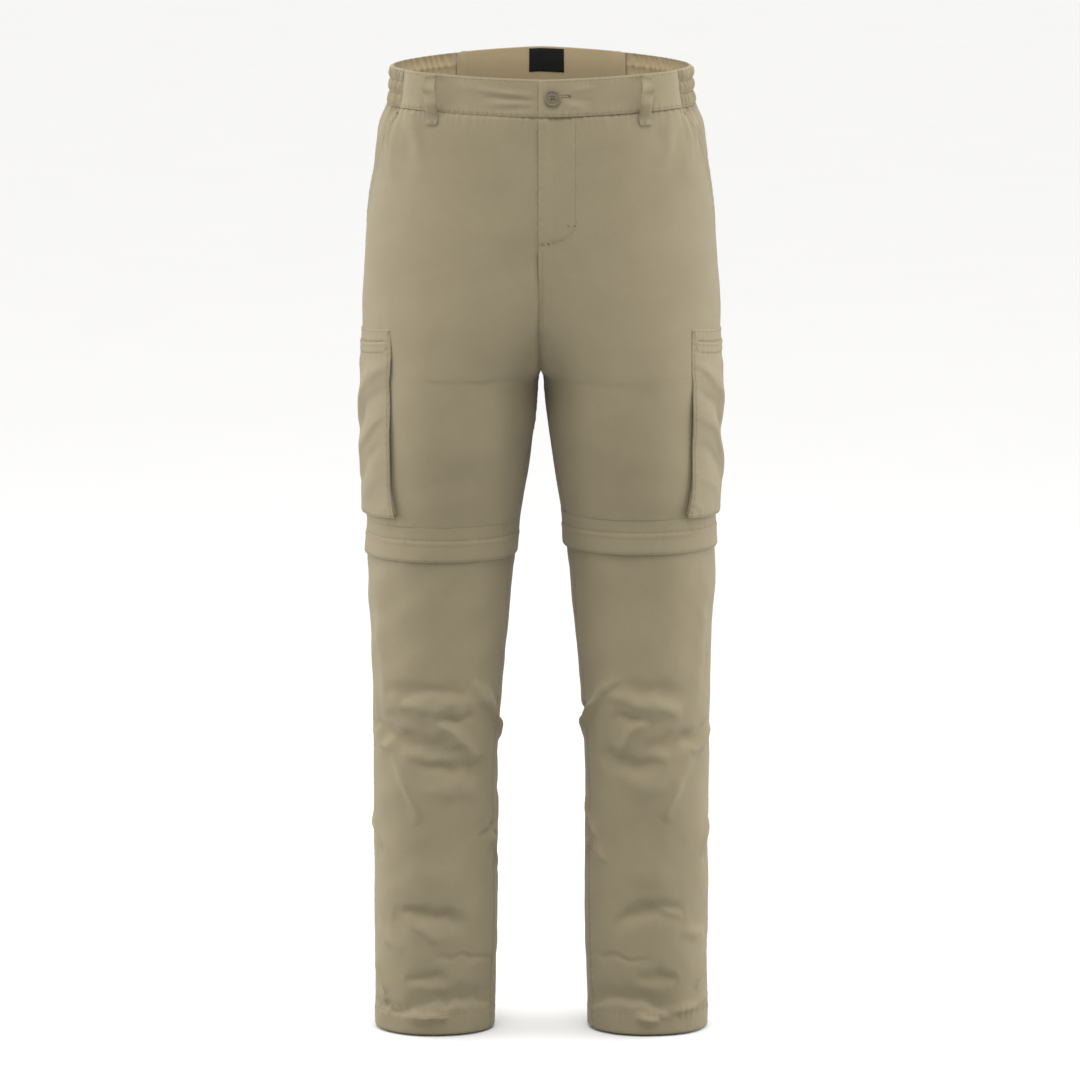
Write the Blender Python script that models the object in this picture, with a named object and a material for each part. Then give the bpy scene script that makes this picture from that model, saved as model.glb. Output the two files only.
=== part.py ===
# Convertible zip-off trousers, filled out as worn, with no wearer.
# Metres, +Z up. The wearer faces -Y, and +X is the wearer's left.
# The origin is the middle of the waist, half way up the waistband, where the wearer holds the trousers up.
import math
from collections import namedtuple
from functools import lru_cache

import bmesh
import bpy
from mathutils import Vector

MM = 0.001

# Cloth and seams
CLOTH = 1.4 * MM
SEAM_GAP = 0.3 * MM
HALF_GAP = SEAM_GAP / 2
REST_GAP = 0.8 * MM

# What differs from one side to the other: the wearer's left knee join sits a little higher, and so do its folds
Side = namedtuple("Side", "word sign knee_rise fold_rise")
SIDES = (Side("left", 1, 9 * MM, 3), Side("right", -1, 0, 0))

# Waistband
BAND_HEIGHT = 41 * MM
BAND_CLOTH = 2.2 * MM
BAND_LIFT = 0.9 * MM
WAIST_SIDE_TOP = 25 * MM
WAIST_FRONT_DIP = -7 * MM
WAIST_BACK_RISE = 11 * MM
WAIST_DIP_POWER = 1.25
ELASTIC_FRONT_ANGLE = 156
ELASTIC_BACK_ANGLE = 235
GATHERS = 24
GATHER_DEPTH = 1.3 * MM
STITCHED_GATHER = 0.35
ELASTIC_DROP = 0.4 * MM

# Fly, with the wearer's left lapped over the right
FLY_LAP = 3 * MM
FLY_END_Z = -166 * MM
FLY_FADE_Z = -197 * MM
FLY_CLOSE = 9 * MM
PANEL_LAP_RAMP = (3 * MM, 14 * MM)
BAND_LAP_RAMP = (24 * MM, 52 * MM)

# Seams down the legs
CROTCH_Z = -316 * MM
SIDE_SEAM_ANGLE = 186
SLASH_TOP_ANGLE = 28
SLASH_END_Z = -175 * MM
SLASH_POWER = 1.5
FACING_TUCK_ANGLE = 4
FACING_RAMP_ANGLE = 10
FACING_CLEAR_ANGLE = 0.6
FACING_GAP = 1.7 * MM

# Zip-off join above the knee
SHORTS_END_Z = -478 * MM
FLAP_END_Z = -517 * MM
FLAP_CLOTH = 1.8 * MM
FLAP_STAND = 3.0 * MM
ZIP_END_Z = -502 * MM
ZIP_TAPE = 1.5 * MM
ZIP_START = 2 * MM
TUCK_DEPTH = 1.2 * MM
TUCK_LENGTH = 14 * MM
HEM_TOP_Z = -1034 * MM
HEM_Z = -1058 * MM
HEM_STEP = 0.6 * MM
HEM_RAMP = 3 * MM

# Cargo pocket on the side of each thigh
POCKET_FRONT_ANGLE = 131
POCKET_BACK_ANGLE = 226
POCKET_TOP_Z = -263 * MM
POCKET_HEIGHT = 208 * MM
POCKET_STAND = 3.4 * MM
POCKET_EDGE_STAND = 2.6 * MM
POCKET_SWELL = (0.02, 0.32)
# Degrees that each edge lies outside its angle, at shares of the way down
POCKET_FLARE = ((0, -6), (0.2, 0), (0.8, 1), (1, 5.5))
GUSSET_CLOTH = 1.2 * MM
GUSSET_INSET = 1.5 * MM
GUSSET_START = 0.22

# Belt loops
LOOP_WIDTH = 12 * MM
LOOP_CLOTH = 1.6 * MM
LOOP_GAP = 12.5 * MM
LOOP_BELOW_BAND = 13 * MM
LOOP_TAB = 5 * MM
FRONT_LOOP_ANGLE = 132.5
BACK_LOOP_ANGLE = 241

# Button and label
BUTTON_X = 12 * MM
BUTTON_Z = -2 * MM
BUTTON_HOLE_RADIUS = 0.9 * MM
BUTTON_HOLE_SPREAD = 1.9 * MM
LABEL_WIDTH = 39 * MM
LABEL_HEIGHT = 26 * MM
LABEL_CLOTH = 1.0 * MM
LABEL_X = 6 * MM
LABEL_DROP = 2 * MM

# Level sections of one side, in millimetres. Above the crotch the two sides overlap and are cut at the middle.
# outer and inner are where the section is furthest from and nearest to the middle, front and back its depth,
# middle the depth of its widest line, and roundness the exponent of its curve, where 2 is an ellipse.
Section = namedtuple("Section", "z outer inner front back middle roundness")
SECTIONS = (
    Section(45, 167.0, -167.0, -112, 113, 0, 2.25),
    Section(24, 167.7, -167.7, -112, 113, 0, 2.25),
    Section(-8, 170.6, -170.6, -114, 116, 0, 2.25),
    Section(-22, 175.0, -175.0, -115.5, 119, 0, 2.25),
    Section(-38, 179.0, -179.0, -117, 122, 0, 2.25),
    Section(-60, 182.0, -181.0, -118.5, 127, 1, 2.25),
    Section(-100, 186.4, -174.0, -120, 135, 2, 2.25),
    Section(-150, 191.8, -156.0, -121, 143, 4, 2.22),
    Section(-200, 195.0, -123.0, -120.5, 146, 6, 2.2),
    Section(-250, 197.2, -78.0, -118.5, 143, 7, 2.15),
    Section(-280, 197.0, -42.0, -117, 137, 7, 2.15),
    Section(-300, 196.4, -20.0, -116, 132, 7, 2.15),
    Section(-311, 196.0, -7.0, -115.5, 129, 7, 2.15),
    Section(-316, 195.9, 0.15, -115, 128, 7, 2.15),
    Section(-321, 195.8, 2.2, -115, 127, 7, 2.15),
    Section(-340, 195.6, 3.6, -114, 122, 6, 2.15),
    Section(-370, 195.3, 7.0, -111, 116, 5, 2.12),
    Section(-400, 195.0, 11.5, -106, 110, 4, 2.1),
    Section(-450, 194.4, 18.5, -94, 99, 3, 2.1),
    Section(-500, 193.6, 26.5, -84, 91, 3, 2.1),
    Section(-550, 193.0, 33.0, -79, 87, 4, 2.1),
    Section(-600, 190.4, 37.4, -76, 85, 5, 2.1),
    Section(-650, 189.3, 42.3, -74, 84, 6, 2.1),
    Section(-700, 188.2, 46.0, -72, 84, 6, 2.1),
    Section(-750, 188.4, 48.9, -70, 83, 6, 2.1),
    Section(-800, 188.2, 49.6, -67, 81, 6, 2.1),
    Section(-900, 187.6, 48.8, -62, 76, 6, 2.1),
    Section(-1000, 187.0, 51.3, -56, 69, 5, 2.1),
    Section(-1058, 186.6, 53.3, -51, 62, 5, 2.1),
)

# Where the inside leg seam lies, in degrees forward of the section's inmost line
Inseam = namedtuple("Inseam", "z angle")
INSEAM = (
    Inseam(-316, 0),
    Inseam(-360, 8),
    Inseam(-420, 15),
    Inseam(-500, 21),
    Inseam(-600, 17),
    Inseam(-800, 20),
    Inseam(-1058, 22),
)

# The largest folds of the lower leg. Each runs from one place to another, in degrees round the leg and millimetres
# of height, and stands out from the leg by lift, or into it where lift is negative.
Fold = namedtuple("Fold", "from_angle from_z to_angle to_z lift width")
LEG_FOLDS = (
    Fold(146, -663, 58, -661, -3.0, 11),
    Fold(60, -652, -2, -714, 5.0, 10),
    Fold(152, -681, 44, -680, 4.5, 10),
    Fold(168, -706, 64, -733, -5.0, 11),
    Fold(140, -724, 103, -812, 4.0, 11),
    Fold(114, -751, 34, -752, -5.0, 13),
    Fold(132, -922, 54, -932, -5.0, 13),
    Fold(160, -936, 122, -964, 2.5, 10),
    Fold(166, -974, 144, -1016, 3.5, 10),
    Fold(120, -1028, 20, -1028, -5.0, 11),
    Fold(196, -640, 326, -652, -4.5, 14),
    Fold(250, -676, 340, -660, 4.2, 11),
    Fold(206, -694, 312, -704, -5.0, 12),
    Fold(222, -742, 336, -728, -4.5, 13),
    Fold(210, -800, 304, -790, -3.6, 14),
    Fold(214, -906, 330, -918, -4.2, 13),
    Fold(206, -968, 306, -956, -3.2, 12),
    Fold(226, -1020, 336, -1018, -4.8, 11),
)
POCKET_FOLDS = (
    Fold(136, -312, 182, -360, 2.6, 12),
    Fold(140, -352, 186, -398, -2.2, 11),
    Fold(146, -372, 192, -424, 2.2, 12),
    Fold(192, -352, 222, -322, 2.2, 12),
    Fold(180, -446, 218, -402, 1.8, 12),
)
FOLD_RADIUS = 76

# Heights of the rows of points, in millimetres, from the top down
SHORTS_ROWS = (-50, -78, -108, -138, -166, -175, -197, -224, -250, -272, -289, -301, -310, -316,
               -323, -337, -360, -388, -418, -448)
LOWER_ROWS = (-532, -562, -594, -626, -648, -664, -679, -692, -706, -720, -735, -751, -768, -788, -812, -844,
              -878, -906, -924, -942, -962, -984, -1003, -1018, -1028)

# Shares of the way round a panel, or across a facing, where its columns of points lie
FRONT_COLUMNS = (0, 0.035, 0.11, 0.2, 0.3, 0.4, 0.5, 0.6, 0.7, 0.8, 0.9, 1)
BACK_COLUMNS = 11
LEG_COLUMNS = 9
BAND_COLUMNS = 9
RING_COLUMNS = 30
FACING_COLUMNS = 3
BAND_ROWS = 6  # two to each of the three channels that the elastic lies in
POUCH_COLUMNS = 9
POUCH_ROWS = 13

# Steps over which the direction of the surface is measured
ANGLE_STEP = 1.0
HEIGHT_STEP = 1.5 * MM

Finish = namedtuple("Finish", "colour roughness metallic")
FINISHES = {
    "shell_cloth": Finish((0.30, 0.25, 0.165), 0.85, 0),
    "waistband_cloth": Finish((0.32, 0.265, 0.175), 0.85, 0),
    "pocket_cloth": Finish((0.34, 0.28, 0.19), 0.85, 0),
    "zip_tape": Finish((0.22, 0.19, 0.13), 0.8, 0),
    "button": Finish((0.26, 0.22, 0.15), 0.45, 0),
    "label": Finish((0.012, 0.012, 0.013), 0.7, 0),
}


def curve_through(points):
    # A smooth curve through points in rising order, which never swings past them
    slopes = [(b[1] - a[1]) / (b[0] - a[0]) for a, b in zip(points, points[1:])]
    tangents = [slopes[0]]
    for before, after in zip(slopes, slopes[1:]):
        same_way = before * after > 0
        tangents.append(2 * before * after / (before + after) if same_way else 0)
    tangents.append(slopes[-1])

    def at(x):
        if x <= points[0][0]:
            return points[0][1]
        if x >= points[-1][0]:
            return points[-1][1]
        i = next(k for k in range(len(points) - 1) if x <= points[k + 1][0])
        (x0, y0), (x1, y1) = points[i], points[i + 1]
        span = x1 - x0
        s = (x - x0) / span
        return (
            y0 * (1 + 2 * s) * (1 - s) ** 2
            + y1 * s * s * (3 - 2 * s)
            + span * s * (1 - s) * (tangents[i] * (1 - s) - tangents[i + 1] * s)
        )

    return at


def column_curve(column, unit):
    return curve_through([(s.z * MM, getattr(s, column) * unit) for s in reversed(SECTIONS)])


UNITS = {"outer": MM, "inner": MM, "front": MM, "back": MM, "middle": MM, "roundness": 1}
SECTION_CURVES = {column: column_curve(column, unit) for column, unit in UNITS.items()}
POCKET_FLARE_CURVE = curve_through(POCKET_FLARE)
INSEAM_CURVE = curve_through([(s.z * MM, s.angle) for s in reversed(INSEAM)])


@lru_cache(maxsize=None)
def section_at(z):
    return {column: curve(z) for column, curve in SECTION_CURVES.items()}


def ease(x, start, end):
    # 0 at start, 1 at end, and smooth between
    s = min(1, max(0, (x - start) / (end - start)))
    return s * s * (3 - 2 * s)


def fold_lift(folds, angle, z):
    # How far the folds move the surface out at a place
    lift = 0
    for fold in folds:
        run = Vector((math.radians(fold.to_angle - fold.from_angle) * FOLD_RADIUS, fold.to_z - fold.from_z))
        here = Vector((math.radians(angle - fold.from_angle) * FOLD_RADIUS, z / MM - fold.from_z))
        along = here.dot(run) / run.length_squared
        if 0 < along < 1:
            across = (here - run * along).length / fold.width
            lift += fold.lift * math.sin(math.pi * along) ** 0.8 * math.exp(-across * across)
    return lift * MM


def body_point(angle, z):
    # A place on the outer surface of the +X side. The angle runs from the inmost line, 0, round the front, 90,
    # to the side of the hip, 180, and the back, 270.
    s = section_at(z)
    centre = (s["outer"] + s["inner"]) / 2
    half_width = (s["outer"] - s["inner"]) / 2
    cosine = math.cos(math.radians(angle))
    sine = math.sin(math.radians(angle))
    n = s["roundness"]
    reach = (1 - abs(cosine) ** n) ** (1 / n)
    depth = (s["front"] if sine > 0 else s["back"]) - s["middle"]
    return Vector((centre - half_width * cosine, s["middle"] + depth * reach, z))


def outward(angle, z):
    round_it = body_point(angle + ANGLE_STEP, z) - body_point(angle - ANGLE_STEP, z)
    up_it = body_point(angle, z + HEIGHT_STEP) - body_point(angle, z - HEIGHT_STEP)
    return round_it.cross(up_it).normalized()


def on_body(angle, z, lift):
    # A point that stands lift clear of the body's surface. One past the middle of the front lies on the other side.
    point = body_point(angle, z)
    if point.x >= 0 or z < FLY_FADE_Z or math.sin(math.radians(angle)) < 0 or angle < 45:
        return point + outward(angle, z) * lift
    s = section_at(z)
    cosine = ((s["outer"] + s["inner"]) / 2 + point.x) / ((s["outer"] - s["inner"]) / 2)
    mirrored = math.degrees(math.acos(cosine))
    across = body_point(mirrored, z) + outward(mirrored, z) * lift
    return Vector((-across.x, across.y, across.z))


def angle_at_x(x, z):
    # The angle on the front where the surface is x from the middle
    s = section_at(z)
    cosine = ((s["outer"] + s["inner"]) / 2 - x) / ((s["outer"] - s["inner"]) / 2)
    return math.degrees(math.acos(max(-1, min(1, cosine))))


def gap_angle(angle, z):
    # Half a seam's gap, as an angle
    speed = (body_point(angle + ANGLE_STEP, z) - body_point(angle - ANGLE_STEP, z)).length / (2 * ANGLE_STEP)
    return HALF_GAP / speed


def waist_top(x):
    # The waistband's top edge dips to the front and rises to the back
    return 1 - min(1, abs(x) / section_at(WAIST_SIDE_TOP)["outer"]) ** WAIST_DIP_POWER


def band_top_z(angle):
    x = body_point(angle, WAIST_SIDE_TOP).x
    front = math.sin(math.radians(angle)) > 0
    return WAIST_SIDE_TOP + (WAIST_FRONT_DIP if front else WAIST_BACK_RISE) * waist_top(x)


def band_bottom_z(angle):
    return band_top_z(angle) - BAND_HEIGHT


def front_edge_angle(z):
    # Where the front panel ends at the side: at the slanted pocket's mouth, and below it at the side seam
    start = WAIST_SIDE_TOP - BAND_HEIGHT
    open_share = min(1, max(0, (z - SLASH_END_Z) / (start - SLASH_END_Z)))
    return SIDE_SEAM_ANGLE - SLASH_TOP_ANGLE * open_share ** SLASH_POWER


def middle_edge_angle(z, x):
    # Where a panel ends at the middle: at the centre seam above the crotch and the inside leg seam below it
    if z >= CROTCH_Z:
        return max(angle_at_x(x, z), gap_angle(0, z))
    inseam = INSEAM_CURVE(z)
    return inseam + gap_angle(inseam, z)


def fly_lap(z):
    return FLY_LAP * ease(z, FLY_END_Z - FLY_CLOSE, FLY_END_Z)


def lap_lift(x, z, ramp):
    # The left front rises over the right one at the fly
    return (CLOTH + SEAM_GAP) * (1 - ease(x, *ramp)) * ease(z, FLY_FADE_Z, FLY_END_Z - FLY_CLOSE)


def material(slot):
    found = bpy.data.materials.get(slot)
    if found:
        return found
    finish = FINISHES[slot]
    made = bpy.data.materials.new(slot)
    made.use_nodes = True
    shader = made.node_tree.nodes["Principled BSDF"]
    shader.inputs["Base Color"].default_value = (*finish.colour, 1)
    shader.inputs["Roughness"].default_value = finish.roughness
    shader.inputs["Metallic"].default_value = finish.metallic
    return made


def add_piece(name, slot, shape):
    bmesh.ops.recalc_face_normals(shape, faces=shape.faces)
    mesh = bpy.data.meshes.new(name)
    shape.to_mesh(mesh)
    shape.free()
    mesh.materials.append(material(slot))
    mesh.shade_smooth()
    mesh.set_sharp_from_angle(angle=math.radians(50))
    piece = bpy.data.objects.new(name, mesh)
    bpy.context.scene.collection.objects.link(piece)
    return piece


def wall(name, slot, side, outer, inner, ring=False):
    # A closed wall between an outer and an inner grid of points, mirrored on the wearer's right
    shape = bmesh.new()
    skins = []
    for grid in (outer, inner):
        skins.append([[shape.verts.new((p.x * side.sign, p.y, p.z)) for p in row] for row in grid])
    rows, columns = len(outer), len(outer[0])
    spans = columns if ring else columns - 1
    for skin in skins:
        for i in range(rows - 1):
            for j in range(spans):
                k = (j + 1) % columns
                shape.faces.new((skin[i][j], skin[i][k], skin[i + 1][k], skin[i + 1][j]))
    out, into = skins
    for i in (0, rows - 1):
        for j in range(spans):
            k = (j + 1) % columns
            shape.faces.new((out[i][j], into[i][j], into[i][k], out[i][k]))
    for j in () if ring else (0, columns - 1):
        for i in range(rows - 1):
            shape.faces.new((out[i][j], out[i + 1][j], into[i + 1][j], into[i][j]))
    return add_piece(name, slot, shape)


def cloth(name, slot, side, places, lift, thickness, ring=False):
    # A wall of cloth that follows the body. places are rows of (angle, z), and lift is its outer face's distance.
    outer = [[on_body(a, z, lift(a, z)) for a, z in row] for row in places]
    inner = [[on_body(a, z, lift(a, z) - thickness(a, z)) for a, z in row] for row in places]
    return wall(name, slot, side, outer, inner, ring)


def swept(name, slot, side, sections):
    # A bar whose closed sections are joined in turn and capped at both ends
    shape = bmesh.new()
    loops = [[shape.verts.new((p.x * side.sign, p.y, p.z)) for p in section] for section in sections]
    for here, after in zip(loops, loops[1:]):
        for j in range(len(here)):
            k = (j + 1) % len(here)
            shape.faces.new((here[j], here[k], after[k], after[j]))
    shape.faces.new(loops[0])
    shape.faces.new(loops[-1])
    return add_piece(name, slot, shape)


def shares(count):
    return [i / count for i in range(count + 1)]


def flat(value):
    return lambda angle, z: value


def under_band(start_angle, end_angle, share):
    # The place along a panel's top edge, which follows the waistband's lower edge
    z = WAIST_SIDE_TOP - BAND_HEIGHT
    for _ in range(3):
        angle = start_angle(z) + (end_angle(z) - start_angle(z)) * share
        z = band_bottom_z(angle) - SEAM_GAP
    return start_angle(z) + (end_angle(z) - start_angle(z)) * share, z


def panel_places(start_angle, end_angle, columns, heights):
    return [[(start_angle(z) + (end_angle(z) - start_angle(z)) * c, z) for c in columns] for z in heights]


def shorts_places(start_angle, end_angle, columns, knee_rise):
    top = [under_band(start_angle, end_angle, share) for share in columns]
    heights = [z * MM for z in SHORTS_ROWS] + [SHORTS_END_Z + knee_rise]
    return [top] + panel_places(start_angle, end_angle, columns, heights)


def side_seam_start(z):
    return SIDE_SEAM_ANGLE + gap_angle(SIDE_SEAM_ANGLE, z)


def side_seam_end(z):
    return SIDE_SEAM_ANGLE - gap_angle(SIDE_SEAM_ANGLE, z)


def inseam_start(z):
    return INSEAM_CURVE(z) + gap_angle(INSEAM_CURVE(z), z)


def inseam_end(z):
    return 360 + INSEAM_CURVE(z) - gap_angle(INSEAM_CURVE(z), z)


def make_front(side):
    laps = side.word == "left"

    def start(z):
        return middle_edge_angle(z, HALF_GAP - (fly_lap(z) if laps else 0))

    def end(z):
        edge = front_edge_angle(z)
        return edge - gap_angle(edge, z)

    def lift(angle, z):
        return lap_lift(body_point(angle, z).x, z, PANEL_LAP_RAMP) if laps else 0

    places = shorts_places(start, end, FRONT_COLUMNS, side.knee_rise)
    cloth(f"front_{side.word}", "shell_cloth", side, places, lift, flat(CLOTH))


def make_back(side):
    def end(z):
        return 360 - middle_edge_angle(z, HALF_GAP) if z >= CROTCH_Z else inseam_end(z)

    places = shorts_places(side_seam_start, end, shares(BACK_COLUMNS), side.knee_rise)
    cloth(f"back_{side.word}", "shell_cloth", side, places, flat(0), flat(CLOTH))


def make_pocket_facing(side):
    # The cloth that shows behind the slanted pocket's mouth. Its front edge is tucked under the front panel.
    def lift(angle, z):
        edge = front_edge_angle(z)
        ramp = max(SIDE_SEAM_ANGLE - edge - 1, FACING_RAMP_ANGLE)
        return -(CLOTH + FACING_GAP) * (1 - ease(angle, edge + FACING_CLEAR_ANGLE, edge + ramp))

    places = []
    for z in (None, *(z * MM for z in SHORTS_ROWS if z * MM >= SLASH_END_Z)):
        row = [under_band(lambda z: front_edge_angle(z) - FACING_TUCK_ANGLE, front_edge_angle, 0)] if z is None else [
            (front_edge_angle(z) - FACING_TUCK_ANGLE, z)
        ]
        for share in shares(FACING_COLUMNS):
            if z is None:
                row.append(under_band(lambda z: front_edge_angle(z) + FACING_CLEAR_ANGLE, side_seam_end, share))
            else:
                edge = min(front_edge_angle(z) + FACING_CLEAR_ANGLE, side_seam_end(z) - 1)
                row.append((edge + (side_seam_end(z) - edge) * share, z))
        places.append(row)
    cloth(f"pocket_facing_{side.word}", "shell_cloth", side, places, lift, flat(CLOTH))


def band_places(start, end, columns):
    # Places on the waistband. Its ends are turned in by half a seam's gap.
    gap = gap_angle(start, 0)
    angles = [start + gap + (end - start - 2 * gap) * share for share in shares(columns)]
    return [[(angle, band_top_z(angle) - BAND_HEIGHT * down) for angle in angles] for down in shares(BAND_ROWS)]


def make_waistbands():
    # The whole waistband lies on the +X side's section, which runs right round at the waist
    def left_lift(angle, z):
        x = body_point(angle, z).x
        return BAND_LIFT + (BAND_CLOTH + SEAM_GAP) * (1 - ease(x, *BAND_LAP_RAMP))

    left, right = SIDES
    places = band_places(angle_at_x(-FLY_LAP, 0), ELASTIC_FRONT_ANGLE, BAND_COLUMNS)
    cloth("waistband_front_left", "waistband_cloth", left, places, left_lift, flat(BAND_CLOTH))
    places = band_places(90, ELASTIC_FRONT_ANGLE, BAND_COLUMNS)
    cloth("waistband_front_right", "waistband_cloth", right, places, flat(BAND_LIFT), flat(BAND_CLOTH))
    places = band_places(ELASTIC_BACK_ANGLE, 540 - ELASTIC_BACK_ANGLE, BAND_COLUMNS + 3)
    cloth("waistband_back", "waistband_cloth", left, places, flat(BAND_LIFT), flat(BAND_CLOTH))


def make_side_elastic(side):
    # Gathers stand out between the rows of stitching that hold the elastic, over a plain inner face
    turns = ELASTIC_BACK_ANGLE - ELASTIC_FRONT_ANGLE
    columns = 2 * GATHERS
    rest = BAND_LIFT - ELASTIC_DROP

    def gather(angle, z):
        wave = round((angle - ELASTIC_FRONT_ANGLE) / turns * columns) % 2
        channel = round((band_top_z(angle) - z) / BAND_HEIGHT * BAND_ROWS) % 2
        return GATHER_DEPTH * wave * (1.0 if channel else STITCHED_GATHER)

    def lift(angle, z):
        return rest + gather(angle, z)

    def thickness(angle, z):
        return BAND_CLOTH - ELASTIC_DROP + gather(angle, z)

    places = band_places(ELASTIC_FRONT_ANGLE, ELASTIC_BACK_ANGLE, columns)
    cloth(f"side_elastic_{side.word}", "waistband_cloth", side, places, lift, thickness)


def ring_places(heights):
    return [[(360 * j / RING_COLUMNS, z) for j in range(RING_COLUMNS)] for z in heights]


def flap_lift(rise):
    return lambda angle, z: FLAP_STAND * ease(z - rise, SHORTS_END_Z, FLAP_END_Z)


def make_knee_join(side):
    # The band that hangs over the zip, and the zip that holds the lower leg on
    top = SHORTS_END_Z - SEAM_GAP
    heights = [top + (FLAP_END_Z - top) * share + side.knee_rise for share in shares(3)]
    lift = flap_lift(side.knee_rise)
    cloth(f"knee_flap_{side.word}", "shell_cloth", side, ring_places(heights), lift, flat(FLAP_CLOTH), ring=True)
    heights = [heights[0] - ZIP_START, heights[1], ZIP_END_Z + side.knee_rise]

    def under_flap(angle, z):
        return lift(angle, z) - FLAP_CLOTH - REST_GAP

    cloth(f"knee_zip_{side.word}", "zip_tape", side, ring_places(heights), under_flap, flat(ZIP_TAPE), ring=True)


def lower_lift(side):
    tuck_end = FLAP_END_Z - TUCK_LENGTH

    def lift(angle, z):
        tucked = TUCK_DEPTH * (1 - ease(z - side.knee_rise, ZIP_END_Z, tuck_end))
        hem = HEM_STEP * ease(z, HEM_TOP_Z + HEM_RAMP, HEM_TOP_Z - HEM_RAMP)
        return fold_lift(LEG_FOLDS, angle % 360, z - side.fold_rise * MM) + hem - tucked

    return lift


def make_lower_leg(side):
    heights = [ZIP_END_Z + side.knee_rise - SEAM_GAP, *(z * MM for z in LOWER_ROWS), HEM_TOP_Z - HEM_RAMP, HEM_Z]
    lift = lower_lift(side)
    for panel, start, end in (("front", inseam_start, side_seam_end), ("back", side_seam_start, inseam_end)):
        places = panel_places(start, end, shares(LEG_COLUMNS), heights)
        cloth(f"lower_{panel}_{side.word}", "shell_cloth", side, places, lift, flat(CLOTH))


def pocket_share(angle, z):
    across = (angle - POCKET_FRONT_ANGLE) / (POCKET_BACK_ANGLE - POCKET_FRONT_ANGLE)
    return across, (POCKET_TOP_Z - z) / POCKET_HEIGHT


def pouch_lift(angle, z):
    across, down = pocket_share(angle, z)
    stand = POCKET_STAND + POCKET_EDGE_STAND * abs(2 * across - 1) ** 2
    folds = fold_lift(POCKET_FOLDS, angle, z) * math.sin(math.pi * min(1, max(0, across))) ** 0.5
    return CLOTH + REST_GAP + stand * ease(down, *POCKET_SWELL) + folds


def make_cargo_pocket(side):
    turns = POCKET_BACK_ANGLE - POCKET_FRONT_ANGLE
    places = []
    for down in shares(POUCH_ROWS):
        row = []
        for across in shares(POUCH_COLUMNS):
            flare = POCKET_FLARE_CURVE(down) * (2 * across - 1) ** 5
            row.append((POCKET_FRONT_ANGLE + turns * across + flare, POCKET_TOP_Z - POCKET_HEIGHT * down))
        places.append(row)
    cloth(f"cargo_pocket_{side.word}", "pocket_cloth", side, places, pouch_lift, flat(CLOTH))


def gusset_route(inset):
    # Down the front edge, along the bottom and up the back edge, inset under the pocket
    turn = math.degrees(inset / (FOLD_RADIUS * 1.4 * MM))
    front, back = POCKET_FRONT_ANGLE + turn, POCKET_BACK_ANGLE - turn
    bottom = 1 - inset / POCKET_HEIGHT
    down_it = [GUSSET_START + (bottom - GUSSET_START) * share for share in shares(9)]
    route = [(front, down) for down in down_it]
    route += [(front + (back - front) * share, bottom) for share in shares(8)[1:-1]]
    route += [(back, down) for down in reversed(down_it)]
    return [(angle, POCKET_TOP_Z - POCKET_HEIGHT * down) for angle, down in route]


def make_gusset(side):
    # The strip that holds the pocket's edges off the leg
    sections = []
    outside = gusset_route(GUSSET_INSET)
    inside = gusset_route(GUSSET_INSET + GUSSET_CLOTH)
    for (angle, z), (angle_in, z_in) in zip(outside, inside):
        top = pouch_lift(angle, z) - CLOTH - 1.5 * REST_GAP
        top_in = pouch_lift(angle_in, z_in) - CLOTH - 1.5 * REST_GAP
        sections.append((
            on_body(angle, z, REST_GAP),
            on_body(angle, z, top),
            on_body(angle_in, z_in, top_in),
            on_body(angle_in, z_in, REST_GAP),
        ))
    swept(f"cargo_gusset_{side.word}", "pocket_cloth", side, sections)


def make_belt_loop(name, side, angle):
    # A strip stitched down at the waistband's top and below it, and bowed out between for the belt
    top = band_top_z(angle) - 1.5 * MM
    bottom = band_bottom_z(angle) - LOOP_BELOW_BAND
    middle = (top + bottom) / 2
    away = outward(angle, middle)
    away = Vector((away.x, away.y, 0)).normalized()
    along = Vector((-away.y, away.x, 0)) * (LOOP_WIDTH / 2)
    path = []
    steps = 14
    for i in range(steps + 1):
        z = top + (bottom - top) * i / steps
        bow = ease(top - z, LOOP_TAB, LOOP_TAB + 15 * MM) * ease(z - bottom, LOOP_TAB + 2 * MM, LOOP_TAB + 20 * MM)
        rest = BAND_LIFT * ease(z, band_bottom_z(angle) - 2 * MM, band_bottom_z(angle)) + SEAM_GAP
        base = body_point(angle, z)
        path.append(base + away * (rest + LOOP_GAP * bow))
    sections = []
    for i, point in enumerate(path):
        run = path[min(i + 1, steps)] - path[max(i - 1, 0)]
        out = Vector((0, 0, 1)).cross(along).normalized()
        square = run.cross(along).normalized() * LOOP_CLOTH
        if square.dot(away) < 0:
            square = -square
        sections.append((point - along, point + along, point + along + square, point - along + square))
    swept(name, "waistband_cloth", side, sections)


def make_belt_loops():
    for side in SIDES:
        make_belt_loop(f"belt_loop_front_{side.word}", side, FRONT_LOOP_ANGLE)
        make_belt_loop(f"belt_loop_back_{side.word}", side, BACK_LOOP_ANGLE)
    make_belt_loop("belt_loop_back_middle", SIDES[0], 270)


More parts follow.
